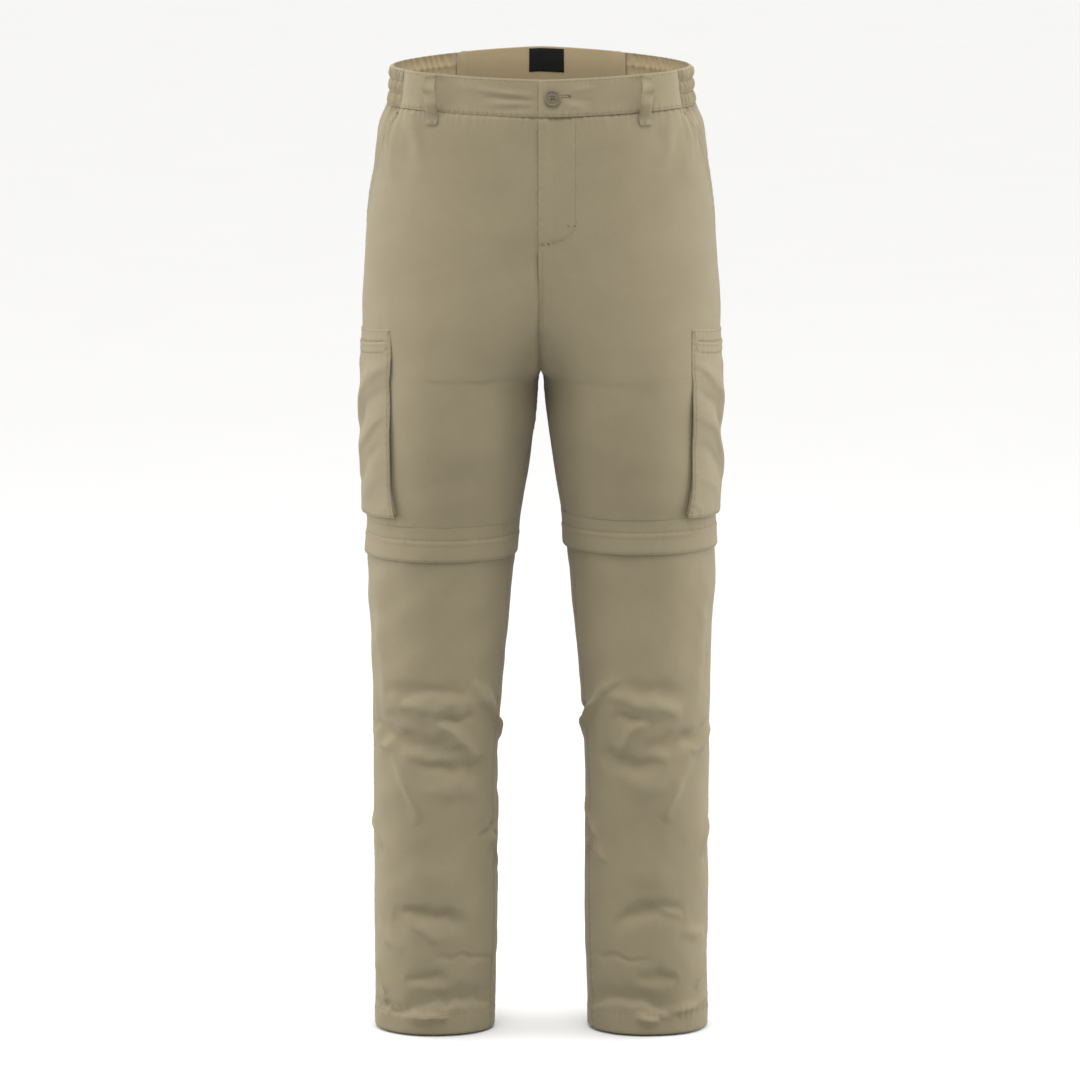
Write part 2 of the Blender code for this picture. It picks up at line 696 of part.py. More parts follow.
def make_button():
    # A turned button with a raised rim and four holes
    profile = (
        (0, 0), (7.0, 0), (8.6, 0.7), (9.0, 1.5), (8.7, 2.6), (7.9, 3.0), (7.1, 2.7), (6.4, 1.9), (0, 1.7),
    )
    steps = 28
    shape = bmesh.new()
    points = [shape.verts.new((r * MM, 0, h * MM)) for r, h in profile]
    edges = [shape.edges.new(pair) for pair in zip(points, points[1:])]
    bmesh.ops.spin(shape, geom=points + edges, axis=(0, 0, 1), cent=(0, 0, 0), angle=math.tau, steps=steps)
    bmesh.ops.remove_doubles(shape, verts=shape.verts, dist=0.02 * MM)
    button = add_piece("button", "button", shape)
    cutter_shape = bmesh.new()
    for corner in range(4):
        turn = math.radians(45 + 90 * corner)
        made = bmesh.ops.create_cone(
            cutter_shape, cap_ends=True, segments=8,
            radius1=BUTTON_HOLE_RADIUS, radius2=BUTTON_HOLE_RADIUS, depth=12 * MM,
        )
        move = Vector((math.cos(turn), math.sin(turn), 0)) * BUTTON_HOLE_SPREAD
        bmesh.ops.translate(cutter_shape, verts=made["verts"], vec=move)
    cutter = add_piece("button_holes", "button", cutter_shape)
    cutter.hide_render = True
    cutter.display_type = "WIRE"
    cutter.parent = button
    cut = button.modifiers.new("holes", "BOOLEAN")
    cut.operation = "DIFFERENCE"
    cut.object = cutter
    angle = angle_at_x(BUTTON_X, BUTTON_Z)
    seat = BAND_LIFT + BAND_CLOTH + SEAM_GAP + 2 * SEAM_GAP
    button.location = on_body(angle, BUTTON_Z, seat)
    button.rotation_euler = outward(angle, BUTTON_Z).to_track_quat("Z", "Y").to_euler()


def make_label():
    # A bare woven label inside the back of the waistband
    half_angle = math.degrees(math.asin(LABEL_WIDTH / 2 / section_at(WAIST_SIDE_TOP)["outer"]))
    shift = math.degrees(math.asin(LABEL_X / section_at(WAIST_SIDE_TOP)["outer"]))
    lift = BAND_LIFT - BAND_CLOTH - SEAM_GAP
    places = []
    for down in shares(2):
        row = []
        for share in shares(5):
            angle = 270 - shift - half_angle + 2 * half_angle * share
            row.append((angle, band_top_z(angle) - LABEL_DROP - LABEL_HEIGHT * down))
        places.append(row)
    cloth("label", "label", SIDES[0], places, flat(lift), flat(LABEL_CLOTH))


def clear_scene():
    for thing in list(bpy.data.objects):
        bpy.data.objects.remove(thing)


def main():
    clear_scene()
    for side in SIDES:
        make_front(side)
        make_back(side)
        make_pocket_facing(side)
        make_side_elastic(side)
        make_knee_join(side)
        make_lower_leg(side)
        make_cargo_pocket(side)
        make_gusset(side)
    make_waistbands()
    make_belt_loops()
    make_button()
    make_label()


main()
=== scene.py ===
import math

import bpy
import numpy as np
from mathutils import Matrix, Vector
from mathutils.bvhtree import BVHTree


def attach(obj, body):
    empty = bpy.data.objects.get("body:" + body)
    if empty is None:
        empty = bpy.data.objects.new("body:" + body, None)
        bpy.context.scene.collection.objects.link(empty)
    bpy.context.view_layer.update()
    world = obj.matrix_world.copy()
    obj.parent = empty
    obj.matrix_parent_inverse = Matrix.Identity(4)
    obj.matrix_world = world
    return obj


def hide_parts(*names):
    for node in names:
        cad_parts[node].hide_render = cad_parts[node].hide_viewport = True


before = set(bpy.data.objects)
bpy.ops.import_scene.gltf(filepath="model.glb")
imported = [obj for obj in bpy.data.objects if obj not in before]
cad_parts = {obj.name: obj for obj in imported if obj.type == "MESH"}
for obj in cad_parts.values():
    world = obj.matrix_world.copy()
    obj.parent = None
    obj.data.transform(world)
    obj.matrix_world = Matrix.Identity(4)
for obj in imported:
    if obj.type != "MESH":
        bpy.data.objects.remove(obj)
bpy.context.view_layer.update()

print("frame loaded")

# Everything below is worked out in millimetres, and turned to metres where a mesh is made.
# +Z is up, -Y the way the wearer faces and +X the wearer's left. The origin is the middle of the waist.
toMetres = 0.001

figure = {
    # level sections of one side: height, furthest out, nearest the middle, front, back, depth of the widest
    # line, and roundness, where 2 is an ellipse
    "sections": (
        (45, 167.0, -167.0, -112, 113, 0, 2.25),
        (24, 167.7, -167.7, -112, 113, 0, 2.25),
        (-8, 170.6, -170.6, -114, 116, 0, 2.25),
        (-22, 175.0, -175.0, -115.5, 119, 0, 2.25),
        (-38, 179.0, -179.0, -117, 122, 0, 2.25),
        (-60, 182.0, -181.0, -118.5, 127, 1, 2.25),
        (-100, 186.4, -174.0, -120, 135, 2, 2.25),
        (-150, 191.8, -156.0, -121, 143, 4, 2.22),
        (-200, 195.0, -123.0, -120.5, 146, 6, 2.2),
        (-250, 197.2, -78.0, -118.5, 143, 7, 2.15),
        (-280, 197.0, -42.0, -117, 137, 7, 2.15),
        (-300, 196.4, -20.0, -116, 132, 7, 2.15),
        (-311, 196.0, -7.0, -115.5, 129, 7, 2.15),
        (-316, 195.9, 0.15, -115, 128, 7, 2.15),
        (-321, 195.8, 2.2, -115, 127, 7, 2.15),
        (-340, 195.6, 3.6, -114, 122, 6, 2.15),
        (-370, 195.3, 7.0, -111, 116, 5, 2.12),
        (-400, 195.0, 11.5, -106, 110, 4, 2.1),
        (-450, 194.4, 18.5, -94, 99, 3, 2.1),
        (-500, 193.6, 26.5, -84, 91, 3, 2.1),
        (-550, 193.0, 33.0, -79, 87, 4, 2.1),
        (-600, 190.4, 37.4, -76, 85, 5, 2.1),
        (-650, 189.3, 42.3, -74, 84, 6, 2.1),
        (-700, 188.2, 46.0, -72, 84, 6, 2.1),
        (-750, 188.4, 48.9, -70, 83, 6, 2.1),
        (-800, 188.2, 49.6, -67, 81, 6, 2.1),
        (-900, 187.6, 48.8, -62, 76, 6, 2.1),
        (-1000, 187.0, 51.3, -56, 69, 5, 2.1),
        (-1058, 186.6, 53.3, -51, 62, 5, 2.1),
    ),
    # where the inside leg seam lies, in degrees forward of the inmost line
    "inseam": ((-316, 0), (-360, 8), (-420, 15), (-500, 21), (-600, 17), (-800, 20), (-1058, 22)),
    "crotch": -316,
    "sideSeam": 186,
    "perDegree": 1.33,  # distance round the cloth for a degree, for folds and puckers
}
cloth = {"thick": 1.1, "seamGap": 0.03, "seamRoll": 1.1, "seamRollWidth": 1.6}
legs = {
    "left": {"sign": 1, "kneeRise": 9},
    "right": {"sign": -1, "kneeRise": 0},
}


def smoothCurve(knots):
    # a curve through its knots that never swings past them
    at, value = (np.array(k, float) for k in zip(*sorted(knots)))
    slope = np.diff(value) / np.diff(at)
    tangent = np.zeros_like(value)
    tangent[0], tangent[-1] = slope[0], slope[-1]
    before, after = slope[:-1], slope[1:]
    sameWay = before * after > 0
    total = np.where(sameWay, before + after, 1)
    tangent[1:-1] = np.where(sameWay, 2 * before * after / total, 0)

    def curve(x):
        x = np.clip(x, at[0], at[-1])
        i = np.clip(np.searchsorted(at, x, side="right") - 1, 0, len(at) - 2)
        span = at[i + 1] - at[i]
        s = (x - at[i]) / span
        return (
            value[i] * (1 + 2 * s) * (1 - s) ** 2
            + value[i + 1] * s * s * (3 - 2 * s)
            + span * s * (1 - s) * (tangent[i] * (1 - s) - tangent[i + 1] * s)
        )

    return curve


sectionCurves = [smoothCurve([(row[0], row[k]) for row in figure["sections"]]) for k in range(1, 7)]
inseamCurve = smoothCurve(figure["inseam"])


def ease(x, start, end):
    s = np.clip((x - start) / (end - start), 0, 1)
    return s * s * (3 - 2 * s)


def bump(x, width):
    return np.exp(-((x / width) ** 2))


# where the legs part the sections change quickly, so the cloth is drawn smooth over them, as a weighted mean of
# sections above and below
crotchEase = {"middle": -318, "reach": 66, "step": 7, "steps": 8, "spread": 26}


def sectionPlace(x, z, inFront):
    # how far forward or back the section at height z lies at x
    outer, inner, front, back, middle, roundness = (curve(z) for curve in sectionCurves)
    share = np.clip(np.abs((outer + inner) / 2 - x) / ((outer - inner) / 2), 0, 1)
    reach = (1 - share**roundness) ** (1 / roundness)
    return middle + (np.where(inFront, front, back) - middle) * reach


def bodyPoint(angle, z):
    # 0 is the inmost line of the wearer's left side, 90 its front, 180 the hip's side and 270 the back
    angle, z = np.broadcast_arrays(np.asarray(angle, float), np.asarray(z, float))
    outer, inner, front, back, middle, roundness = (curve(z) for curve in sectionCurves)
    cosine = np.cos(np.radians(angle))
    reach = np.clip(1 - np.abs(cosine) ** roundness, 0, 1) ** (1 / roundness)
    inFront = np.sin(np.radians(angle)) > 0
    x = (outer + inner) / 2 - (outer - inner) / 2 * cosine
    y = middle + (np.where(inFront, front, back) - middle) * reach
    near = np.abs(z - crotchEase["middle"]) < 2 * crotchEase["reach"]
    if near.any():
        xs, zs, ys, ahead = x[near], z[near], y[near], inFront[near]
        offsets = crotchEase["step"] * np.arange(-crotchEase["steps"], crotchEase["steps"] + 1)
        weights = bump(offsets, crotchEase["spread"])
        weights = weights / weights.sum()
        mean = sum(weight * sectionPlace(xs, zs + rise, ahead) for rise, weight in zip(offsets, weights))
        fade = bump(zs - crotchEase["middle"], crotchEase["reach"])
        fade = fade * ease(xs - inner[near], 4, 40) * ease(outer[near] - xs, 6, 40)
        y = np.array(y)
        y[near] = ys + fade * (mean - ys)
    return np.stack((x, y, z + 0 * x), axis=-1)


def bodyNormal(angle, z):
    roundIt = bodyPoint(angle + 1.0, z) - bodyPoint(angle - 1.0, z)
    upIt = bodyPoint(angle, z + 1.5) - bodyPoint(angle, z - 1.5)
    away = np.cross(roundIt, upIt)
    return away / np.linalg.norm(away, axis=-1, keepdims=True)


def onBody(angle, z, lift):
    angle, z = np.broadcast_arrays(np.asarray(angle, float), np.asarray(z, float))
    point = bodyPoint(angle, z) + bodyNormal(angle, z) * np.asarray(lift)[..., None]
    # a place past the middle of the front lies on the other side's section
    past = (bodyPoint(angle, z)[..., 0] < 0) & (z > -200) & (np.sin(np.radians(angle)) > 0) & (angle > 45)
    if past.any():
        x = bodyPoint(angle, z)[..., 0]
        mirrored = angleAtX(-x, z)
        across = bodyPoint(mirrored, z) + bodyNormal(mirrored, z) * np.asarray(lift)[..., None]
        across[..., 0] *= -1
        point = np.where(past[..., None], across, point)
    return point


def angleAtX(x, z):
    outer, inner = sectionCurves[0](z), sectionCurves[1](z)
    return np.degrees(np.arccos(np.clip(((outer + inner) / 2 - x) / ((outer - inner) / 2), -1, 1)))


def gapAngle(z):
    return cloth["seamGap"] / figure["perDegree"] + 0 * z


def softWaves(angle, z, seed, size, height):
    # low uneven swells, the same on every run
    draw = np.random.default_rng(seed)
    s, t = angle * figure["perDegree"], z
    total = 0
    for _ in range(7):
        turn, length, phase = draw.uniform(0, math.pi), size * draw.uniform(0.6, 1.7), draw.uniform(0, 6.3)
        total = total + np.sin((s * math.cos(turn) + t * math.sin(turn)) * 2 * math.pi / length + phase)
    return height * total / 3


def foldLift(folds, angle, z, seed=3):
    # each fold: from angle, from height, to angle, to height, lift, width above, width below, bow
    s = angle * figure["perDegree"] + softWaves(angle, z, seed, 46, 2.6)
    t = z + softWaves(angle, z, seed + 1, 40, 2.2)
    total = 0 * s
    for fromAngle, fromZ, toAngle, toZ, lift, above, below, bow in folds:
        runS, runT = (toAngle - fromAngle) * figure["perDegree"], toZ - fromZ
        length = math.hypot(runS, runT)
        up = 1 if runS > 0 else -1
        ds, dt = s - fromAngle * figure["perDegree"], t - fromZ
        along = (ds * runS + dt * runT) / length**2
        across = up * (dt * runS - ds * runT) / length - bow * 4 * along * (1 - along)
        inside = np.clip(along, 0, 1)
        ends = np.sin(math.pi * inside) ** 0.75
        total = total + lift * ends * bump(across, np.where(across > 0, above, below))
    return total


def edgeRoll(distance):
    # cloth turned under at a seam or an edge
    return -cloth["seamRoll"] * bump(distance, cloth["seamRollWidth"])


def pucker(along, distance, seed, step=8.5, height=0.32, reach=7.0):
    # short gathers that a line of stitching pulls into the cloth beside it
    draw = np.random.default_rng(seed)
    first, second = draw.uniform(0, 6.3, 2)
    wave = np.sin(along * 2 * math.pi / step + first + 1.7 * np.sin(along * 2 * math.pi / (step * 4.3) + second))
    return height * wave * bump(distance, reach)


def seamLine(along, distance, seed, height=0.3, roll=1.0):
    # a seam: its edge turned under, with puckers beside it
    return roll * edgeRoll(distance) + pucker(along, distance, seed, height=height)


materials = {}


def makeMesh(name, points, faces, uv=None, finish="khaki", lining=None, inside=None):
    mesh = bpy.data.meshes.new(name)
    mesh.from_pydata((np.asarray(points) * toMetres).tolist(), [], faces)
    if uv is not None:
        layer = mesh.uv_layers.new(name="clothMap")
        corner = np.empty(len(mesh.loops), int)
        mesh.loops.foreach_get("vertex_index", corner)
        layer.data.foreach_set("uv", (uv[corner] * toMetres).ravel())
    mesh.materials.append(materials[finish])
    if lining:
        mesh.materials.append(materials[lining])
        mesh.polygons.foreach_set("material_index", inside.astype(np.int32))
    mesh.polygons.foreach_set("use_smooth", np.ones(len(mesh.polygons), bool))
    mesh.update()
    piece = bpy.data.objects.new(name, mesh)
    bpy.context.scene.collection.objects.link(piece)
    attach(piece, "root")
    return piece


def makeWall(name, sign, outer, inner, uv, ring=False, finish="khaki", lining=None):
    # a closed wall of cloth, with its faces outwards: a fine outer grid and, where it can be, an inner one
    # with every second row and column
    rows, columns = outer.shape[:2]
    step = 2 if rows % 2 and (columns % 2 == 0 if ring else columns % 2) else 1
    inner = inner[::step, ::step]
    outGrid = np.arange(rows * columns).reshape(rows, columns)
    inGrid = np.arange(inner.shape[0] * inner.shape[1]).reshape(inner.shape[:2]) + rows * columns
    if ring:
        outGrid, inGrid = (np.hstack((grid, grid[:, :1])) for grid in (outGrid, inGrid))

    def quads(grid):
        return np.stack((grid[:-1, :-1], grid[1:, :-1], grid[1:, 1:], grid[:-1, 1:]), -1).reshape(-1, 4)

    def rim(out, into):
        # faces from a line of the outer grid to the same line of the inner one
        return [[*out[i * step : (i + 1) * step + 1], into[i + 1], into[i]] for i in range(len(into) - 1)]

    faces = quads(outGrid).tolist()
    outside = len(faces)
    faces += quads(inGrid)[:, ::-1].tolist()
    lined = len(faces)
    outList, inList = outGrid.tolist(), inGrid.tolist()
    faces += rim(outList[0], inList[0])
    faces += [face[::-1] for face in rim(outList[-1], inList[-1])]
    if not ring:
        faces += [face[::-1] for face in rim(outGrid[:, 0].tolist(), inGrid[:, 0].tolist())]
        faces += rim(outGrid[:, -1].tolist(), inGrid[:, -1].tolist())
    inside = np.zeros(len(faces), bool)
    inside[outside:lined] = True
    points = np.vstack((outer.reshape(-1, 3), inner.reshape(-1, 3)))
    points[:, 0] *= sign
    if sign < 0:
        faces = [face[::-1] for face in faces]
    uvAll = np.vstack((uv.reshape(-1, 2), uv[::step, ::step].reshape(-1, 2)))
    return makeMesh(name, points, faces, uvAll, finish, lining, inside)


def shares(count, width, edge=(0, 0.5, 1.1, 2.0, 3.4)):
    # even shares of the way across, an odd number of them, with a few close ones at each edge for its roll
    near = np.array(edge) / width
    count += (count + 1) % 2
    middle = np.linspace(near[-1], 1 - near[-1], count)[1:-1]
    return np.concatenate((near, middle, 1 - near[::-1]))


def spread(start, end, top, bottom, across, down):
    # the grid of places that a panel covers, with each one's distance from the panel's edges
    u, v = across[None, :], down[:, None]
    z = np.full((len(down), len(across)), -24.0)
    for _ in range(4):
        angle = start(z) + (end(z) - start(z)) * u
        z = top(angle) + (bottom(angle) - top(angle)) * v
    base = bodyPoint(angle, z)
    steps = np.linalg.norm(np.diff(base, axis=1), axis=-1)
    along = np.hstack((np.zeros((len(down), 1)), np.cumsum(steps, axis=1)))
    return {
        "angle": angle, "z": z, "x": base[..., 0], "along": along,
        "fromStart": along, "fromEnd": along[:, -1:] - along,
        "fromTop": top(angle) - z, "fromBottom": z - bottom(angle),
    }


def makePanel(name, nodes, sign, area, lift, settings):
    # settings: flat size, area, how it is held, what it hangs from, finish, lining and thickness
    angle, z = area["angle"], area["z"]
    raised = lift(area)
    thick = settings.get("thick", cloth["thick"]) + 0 * raised
    inward = settings.get("inside")
    innerLift = inward(area) if inward else raised - thick
    uv = np.stack((area["along"], z), axis=-1)
    outer, inner = onBody(angle, z, raised), onBody(angle, z, innerLift)
    piece = makeWall(name, sign, outer, inner, uv, settings.get("ring", False),
                     settings.get("finish", "khaki"), settings.get("lining"))
    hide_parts(*nodes)
    return piece


waist = {
    "sideTop": 25, "frontDip": -7, "backRise": 11, "dipPower": 1.25, "height": 41, "lift": 0.9, "thick": 2.2,
    "elasticFront": 156, "elasticBack": 235, "lap": 3, "lapRamp": (24, 52), "lapRise": 2.5,
    "gathers": 21, "gatherDepth": 2.3, "channels": 3,
    "hipDrawn": 4.4, "elasticDrawn": 4.6, "endDrawn": 4.2, "drawnReach": 11,
}


def bandTop(angle):
    x = np.abs(bodyPoint(angle, 0 * angle + waist["sideTop"])[..., 0])
    dip = 1 - np.minimum(1, x / sectionCurves[0](waist["sideTop"])) ** waist["dipPower"]
    return waist["sideTop"] + np.where(np.sin(np.radians(angle)) > 0, waist["frontDip"], waist["backRise"]) * dip


def bandBottom(angle):
    return bandTop(angle) - waist["height"]


fly = {
    "lap": 3.2, "end": -166, "close": 9, "fade": -197, "seamEnd": -296, "seamRise": 1.2,
    "ramp": (3, 14), "width": 37, "curveTop": -134, "curveDrop": 26,
}
slash = {"topAngle": 28, "end": -175, "power": 1.5, "tuck": 4, "gape": 1.3, "under": 2.2}
thighs = {
    "hem": -478,
    # soft creases: from angle, from height, to angle, to height, lift, width above, width below, bow
    "frontFolds": (
        (152, -18, 140, -84, -2.4, 6, 5, 0),
        (147, -18, 134, -78, 2.0, 5, 6, 0),
        (141, -18, 130, -56, -1.2, 5, 5, 0),
        (158, -20, 150, -100, 1.8, 5, 6, 0),
        (120, -22, 114, -60, 0.9, 8, 8, 0),
        (20, -318, 58, -276, 1.3, 7, 6, 0),
        (10, -330, 46, -346, -1.0, 8, 9, 0),
        (30, -380, 96, -402, 0.8, 16, 16, 0),
        (60, -440, 128, -452, 0.8, 14, 12, 0),
        (124, -250, 100, -330, 0.9, 16, 14, 0),
    ),
    "backFolds": (
        (200, -30, 212, -92, -1.5, 8, 7, 0),
        (222, -26, 228, -84, 1.4, 8, 7, 0),
        (246, -24, 250, -70, -1.0, 8, 7, 0),
        (352, -318, 292, -300, -2.4, 9, 8, 3),
        (350, -330, 282, -326, 2.4, 8, 6, 4),
        (346, -346, 270, -356, -2.2, 10, 8, 3),
        (340, -374, 262, -392, 1.6, 12, 10, 0),
        (334, -412, 268, -424, -1.4, 12, 12, 0),
        (232, -290, 286, -262, 1.2, 14, 12, 0),
    ),
}


def slashEdge(z):
    top = waist["sideTop"] - waist["height"]
    share = np.clip((z - slash["end"]) / (top - slash["end"]), 0, 1)
    return figure["sideSeam"] - slash["topAngle"] * share ** slash["power"]


def sideStart(z):
    return figure["sideSeam"] + gapAngle(z)


def sideEnd(z):
    return figure["sideSeam"] - gapAngle(z)


def inseamStart(z):
    return inseamCurve(z) + gapAngle(z)


def inseamEnd(z):
    return 360 + inseamCurve(z) - gapAngle(z)


def middleStart(z, x):
    return np.where(z >= figure["crotch"], angleAtX(x, z), inseamStart(z))


def underLap(x):
    # the wearer's right panel runs on under the left one past the middle
    return -2.3 * (1 - ease(x, 0.6, 5.5))


def hipSwell(angle, z):
    return 1.7 * bump(z + 236, 46) * bump(angle - figure["sideSeam"], 42)


def hipGathers(angle, fromTop, leg):
    # under the elastic the cloth is drawn in with it, and its gathers run out below
    front, back = waist["elasticFront"], waist["elasticBack"]
    near = ease(angle, front - 10, front + 3) * (1 - ease(angle, back - 3, back + 10))
    folds = pucker(angle * figure["perDegree"], fromTop, 23 if leg == "left" else 29, 9, 1.5, 36)
    return near * (folds - waist["hipDrawn"] * bump(fromTop, 16))


def level(height):
    return lambda angle: height + 0 * angle


def underBand(angle):
    return bandBottom(angle) - 0.2


def makeFront(leg, sign, kneeRise):
    laps = leg == "left"
    seed = 11 if laps else 17

    def start(z):
        lap = fly["lap"] * ease(z, fly["seamEnd"] - 16, fly["seamEnd"]) if laps else 2.8
        return middleStart(z, (0.0 if laps else cloth["seamGap"]) - lap)

    def end(z):
        return slashEdge(z) - gapAngle(z)

    def lift(at):
        x, z, angle = at["x"], at["z"], at["angle"]
        rise = fly["seamRise"] + (1.9 - fly["seamRise"]) * ease(z, fly["fade"], fly["end"] - fly["close"])
        over = rise * (1 - ease(x, *fly["ramp"])) * ease(z, fly["seamEnd"] - 14, fly["seamEnd"] + 20) * laps
        placket, sewn = 0, 0
        if laps:
            # the stitched line down the fly and round to the seam
            drop = np.maximum(fly["curveTop"] - z, 0) * fly["width"] / fly["curveDrop"]
            away = np.hypot(np.maximum(x, 0), drop) - fly["width"]
            placket = 0.7 * (1 - ease(away, -1.2, 1.6)) - 0.5 * bump(away + 0.4, 1.1)
            sewn = pucker(z - x, away, seed + 2, height=0.35)
        mouth = ease(z, slash["end"], slash["end"] + 40)
        gape = slash["gape"] * bump(at["fromEnd"], 13) * mouth * ease(-z, 20, 60)
        below = ease(-z, -fly["end"], -fly["end"] + 12)
        side = (0 if laps else underLap(x) * below * (z >= figure["crotch"])) + hipSwell(angle, z)
        seamEdge = at["fromStart"] - (0 if laps else 2.8)
        waistTuck = 0.9 * bump(at["fromTop"], 2.2)
        return (
            over + placket + sewn + gape - waistTuck
            + seamLine(z, seamEdge, seed + 3, roll=0.55 if laps else 0.2)
            + (1.1 * bump(x - 9, 4.2) * ease(-z, 172, 200) if not laps else 0) + side
            + seamLine(z, at["fromEnd"], seed + 4, 0.35)
            + pucker(at["along"], at["fromTop"], seed + 5, height=0.45, reach=12)
            + hipGathers(angle, at["fromTop"], leg)
            + seamLine(at["along"], at["fromBottom"], seed + 6, 0.15, 0.12)
            + foldLift(thighs["frontFolds"], angle, z, seed)
            + softWaves(angle, z, seed + 7, 90, 0.55)
            + softWaves(angle, z, seed + 8, 24, 0.09)
        )

    down = level(thighs["hem"] + kneeRise)
    area = spread(start, end, underBand, down, shares(96, 260), shares(176, 450))
    settings = {"flat": (0.29, 0.46), "area": 0.125, "held": "hung", "restsOn": [f"frontBand_{leg}"]}
    return makePanel(f"frontPanel_{leg}", [f"front_{leg}"], sign, area, lift, settings)


def makeBack(leg, sign, kneeRise):
    seed = 31 if leg == "left" else 37

    laps = leg == "left"

    def end(z):
        reach = 0.0 if laps else cloth["seamGap"] - 2.8
        return np.where(z >= figure["crotch"], 360 - middleStart(z, reach), inseamEnd(z))

    def lift(at):
        angle, z = at["angle"], at["z"]
        side = (0 if laps else underLap(at["x"]) * (z >= figure["crotch"])) + hipSwell(angle, z)
        return (
            side + seamLine(z, at["fromStart"], seed + 1)
            + seamLine(z, at["fromEnd"] - (0 if laps else 2.8), seed + 2, roll=0.6)
            - 0.9 * bump(at["fromTop"], 2.2)
            + pucker(at["along"], at["fromTop"], seed + 3, height=0.5, reach=14)
            + hipGathers(angle, at["fromTop"], leg)
            + seamLine(at["along"], at["fromBottom"], seed + 4, 0.15, 0.12)
            + foldLift(thighs["backFolds"], angle, z, seed)
            + softWaves(angle, z, seed + 5, 90, 0.6) + softWaves(angle, z, seed + 6, 24, 0.09)
        )

    down = level(thighs["hem"] + kneeRise)
    area = spread(sideStart, end, underBand, down, shares(96, 260), shares(176, 450))
    settings = {"flat": (0.33, 0.47), "area": 0.128, "held": "hung", "restsOn": ["backBand"]}
    return makePanel(f"backPanel_{leg}", [f"back_{leg}"], sign, area, lift, settings)


def makeFacing(leg, sign):
    # what shows of the slanted pocket's far side; near the mouth's foot it runs on under the back panel
    def start(z):
        return slashEdge(z) - slash["tuck"]

    def end(z):
        return sideEnd(z) + slash["under"] * (1 - ease(figure["sideSeam"] - slashEdge(z), 4, 9))

    def lift(at):
        edge = slashEdge(at["z"])
        ramp = np.maximum(figure["sideSeam"] - edge - 1, 10)
        tucked = -2.6 * (1 - ease(at["angle"], edge + 0.6, edge + ramp)) + hipSwell(at["angle"], at["z"])
        drawn = hipGathers(at["angle"], at["fromTop"], leg)
        seam = seamLine(at["z"], at["fromEnd"], 41)
        return drawn + tucked + seam + softWaves(at["angle"], at["z"], 43, 40, 0.25)

    area = spread(start, end, underBand, level(slash["end"]), shares(26, 40), shares(60, 155))
    settings = {"flat": (0.085, 0.16), "area": 0.0065, "held": "hung", "restsOn": [f"sideBand_{leg}"]}
    return makePanel(f"pocketMouth_{leg}", [f"pocket_facing_{leg}"], sign, area, lift, settings)


bandCreases = {
    # level creases that the button pulls into the band: from x, from height, to x, to height, lift, width
    "right": ((-70, 6, -4, 0, 1.5, 3.4), (-62, -1, -4, -6, -1.4, 3.0), (-66, -9, -8, -8, 1.1, 3.6),
              (-96, 10, -50, 5, 0.8, 4.5), (-52, -15, -8, -13, -0.8, 3.4)),
    "left": ((28, 5, 60, 9, 1.0, 3.6), (26, -3, 58, -6, -0.9, 3.4), (24, -9, 50, -14, 0.8, 3.6)),
}


def creaseLift(creases, x, z):
    total = 0 * x
    for fromX, fromZ, toX, toZ, lift, width in creases:
        runX, runZ = toX - fromX, toZ - fromZ
        length = math.hypot(runX, runZ)
        along = ((x - fromX) * runX + (z - fromZ) * runZ) / length**2
        across = ((z - fromZ) * runX - (x - fromX) * runZ) / length
        total = total + lift * np.sin(math.pi * np.clip(along, 0, 1)) ** 0.8 * bump(across, width)
    return total


def bandEdge(at):
    # the band's long edges are folded, and rows of stitching lie just inside them
    top, bottom = at["fromTop"], at["fromBottom"]
    fold = -1.0 * bump(top, 1.3) - 0.8 * bump(bottom, 1.3)
    groove = -0.22 * bump(top - 2.6, 1.0) - 0.22 * bump(bottom - 2.6, 1.0)
    ripples = pucker(at["along"], top - 2.6, 51, 6.5, 0.22, 4.5) + pucker(at["along"], bottom - 2.6, 53, 6.5, 0.3, 5.5)
    return fold + groove + ripples


def makeWaistband(name, node, sign, start, end, creases, lapped, flat):
    def drawnIn(at):
        # beside the elastic the plain band is drawn in with it
        ends = bump(at["fromEnd"], waist["drawnReach"])
        if node == "waistband_back":
            ends = ends + bump(at["fromStart"], waist["drawnReach"])
        return waist["endDrawn"] * ends

    def lift(at):
        x = at["x"] * sign
        over = waist["lapRise"] * (1 - ease(at["x"], *waist["lapRamp"])) if lapped else 0
        return (
            waist["lift"] + over - drawnIn(at) + bandEdge(at)
            + edgeRoll(at["fromStart"]) * 0.8 + edgeRoll(at["fromEnd"])
            + creaseLift(creases, x, at["z"])
            + softWaves(at["angle"], at["z"], 55, 30, 0.25)
        )

    def inside(at):
        over = waist["lapRise"] * (1 - ease(at["x"], *waist["lapRamp"])) if lapped else 0
        wrinkle = 0
        if node == "waistband_back":
            near = bump(at["fromStart"], 26) + bump(at["fromEnd"], 26)
            wrinkle = pucker(at["along"], at["fromTop"] - 20, 57, 6, 1.0, 22) * near
        return waist["lift"] + over - waist["thick"] + wrinkle - drawnIn(at)

    area = spread(start, end, bandTop, bandBottom, shares(110, 190), shares(34, 41, (0, 0.5, 1.1, 1.8)))
    settings = {
        "flat": flat, "held": "folded", "finish": "khakiBand", "lining": "khakiInsidePaintedBright",
        "slot": "waistband_cloth", "inside": inside,
    }
    return makePanel(name, [node], sign, area, lift, settings)


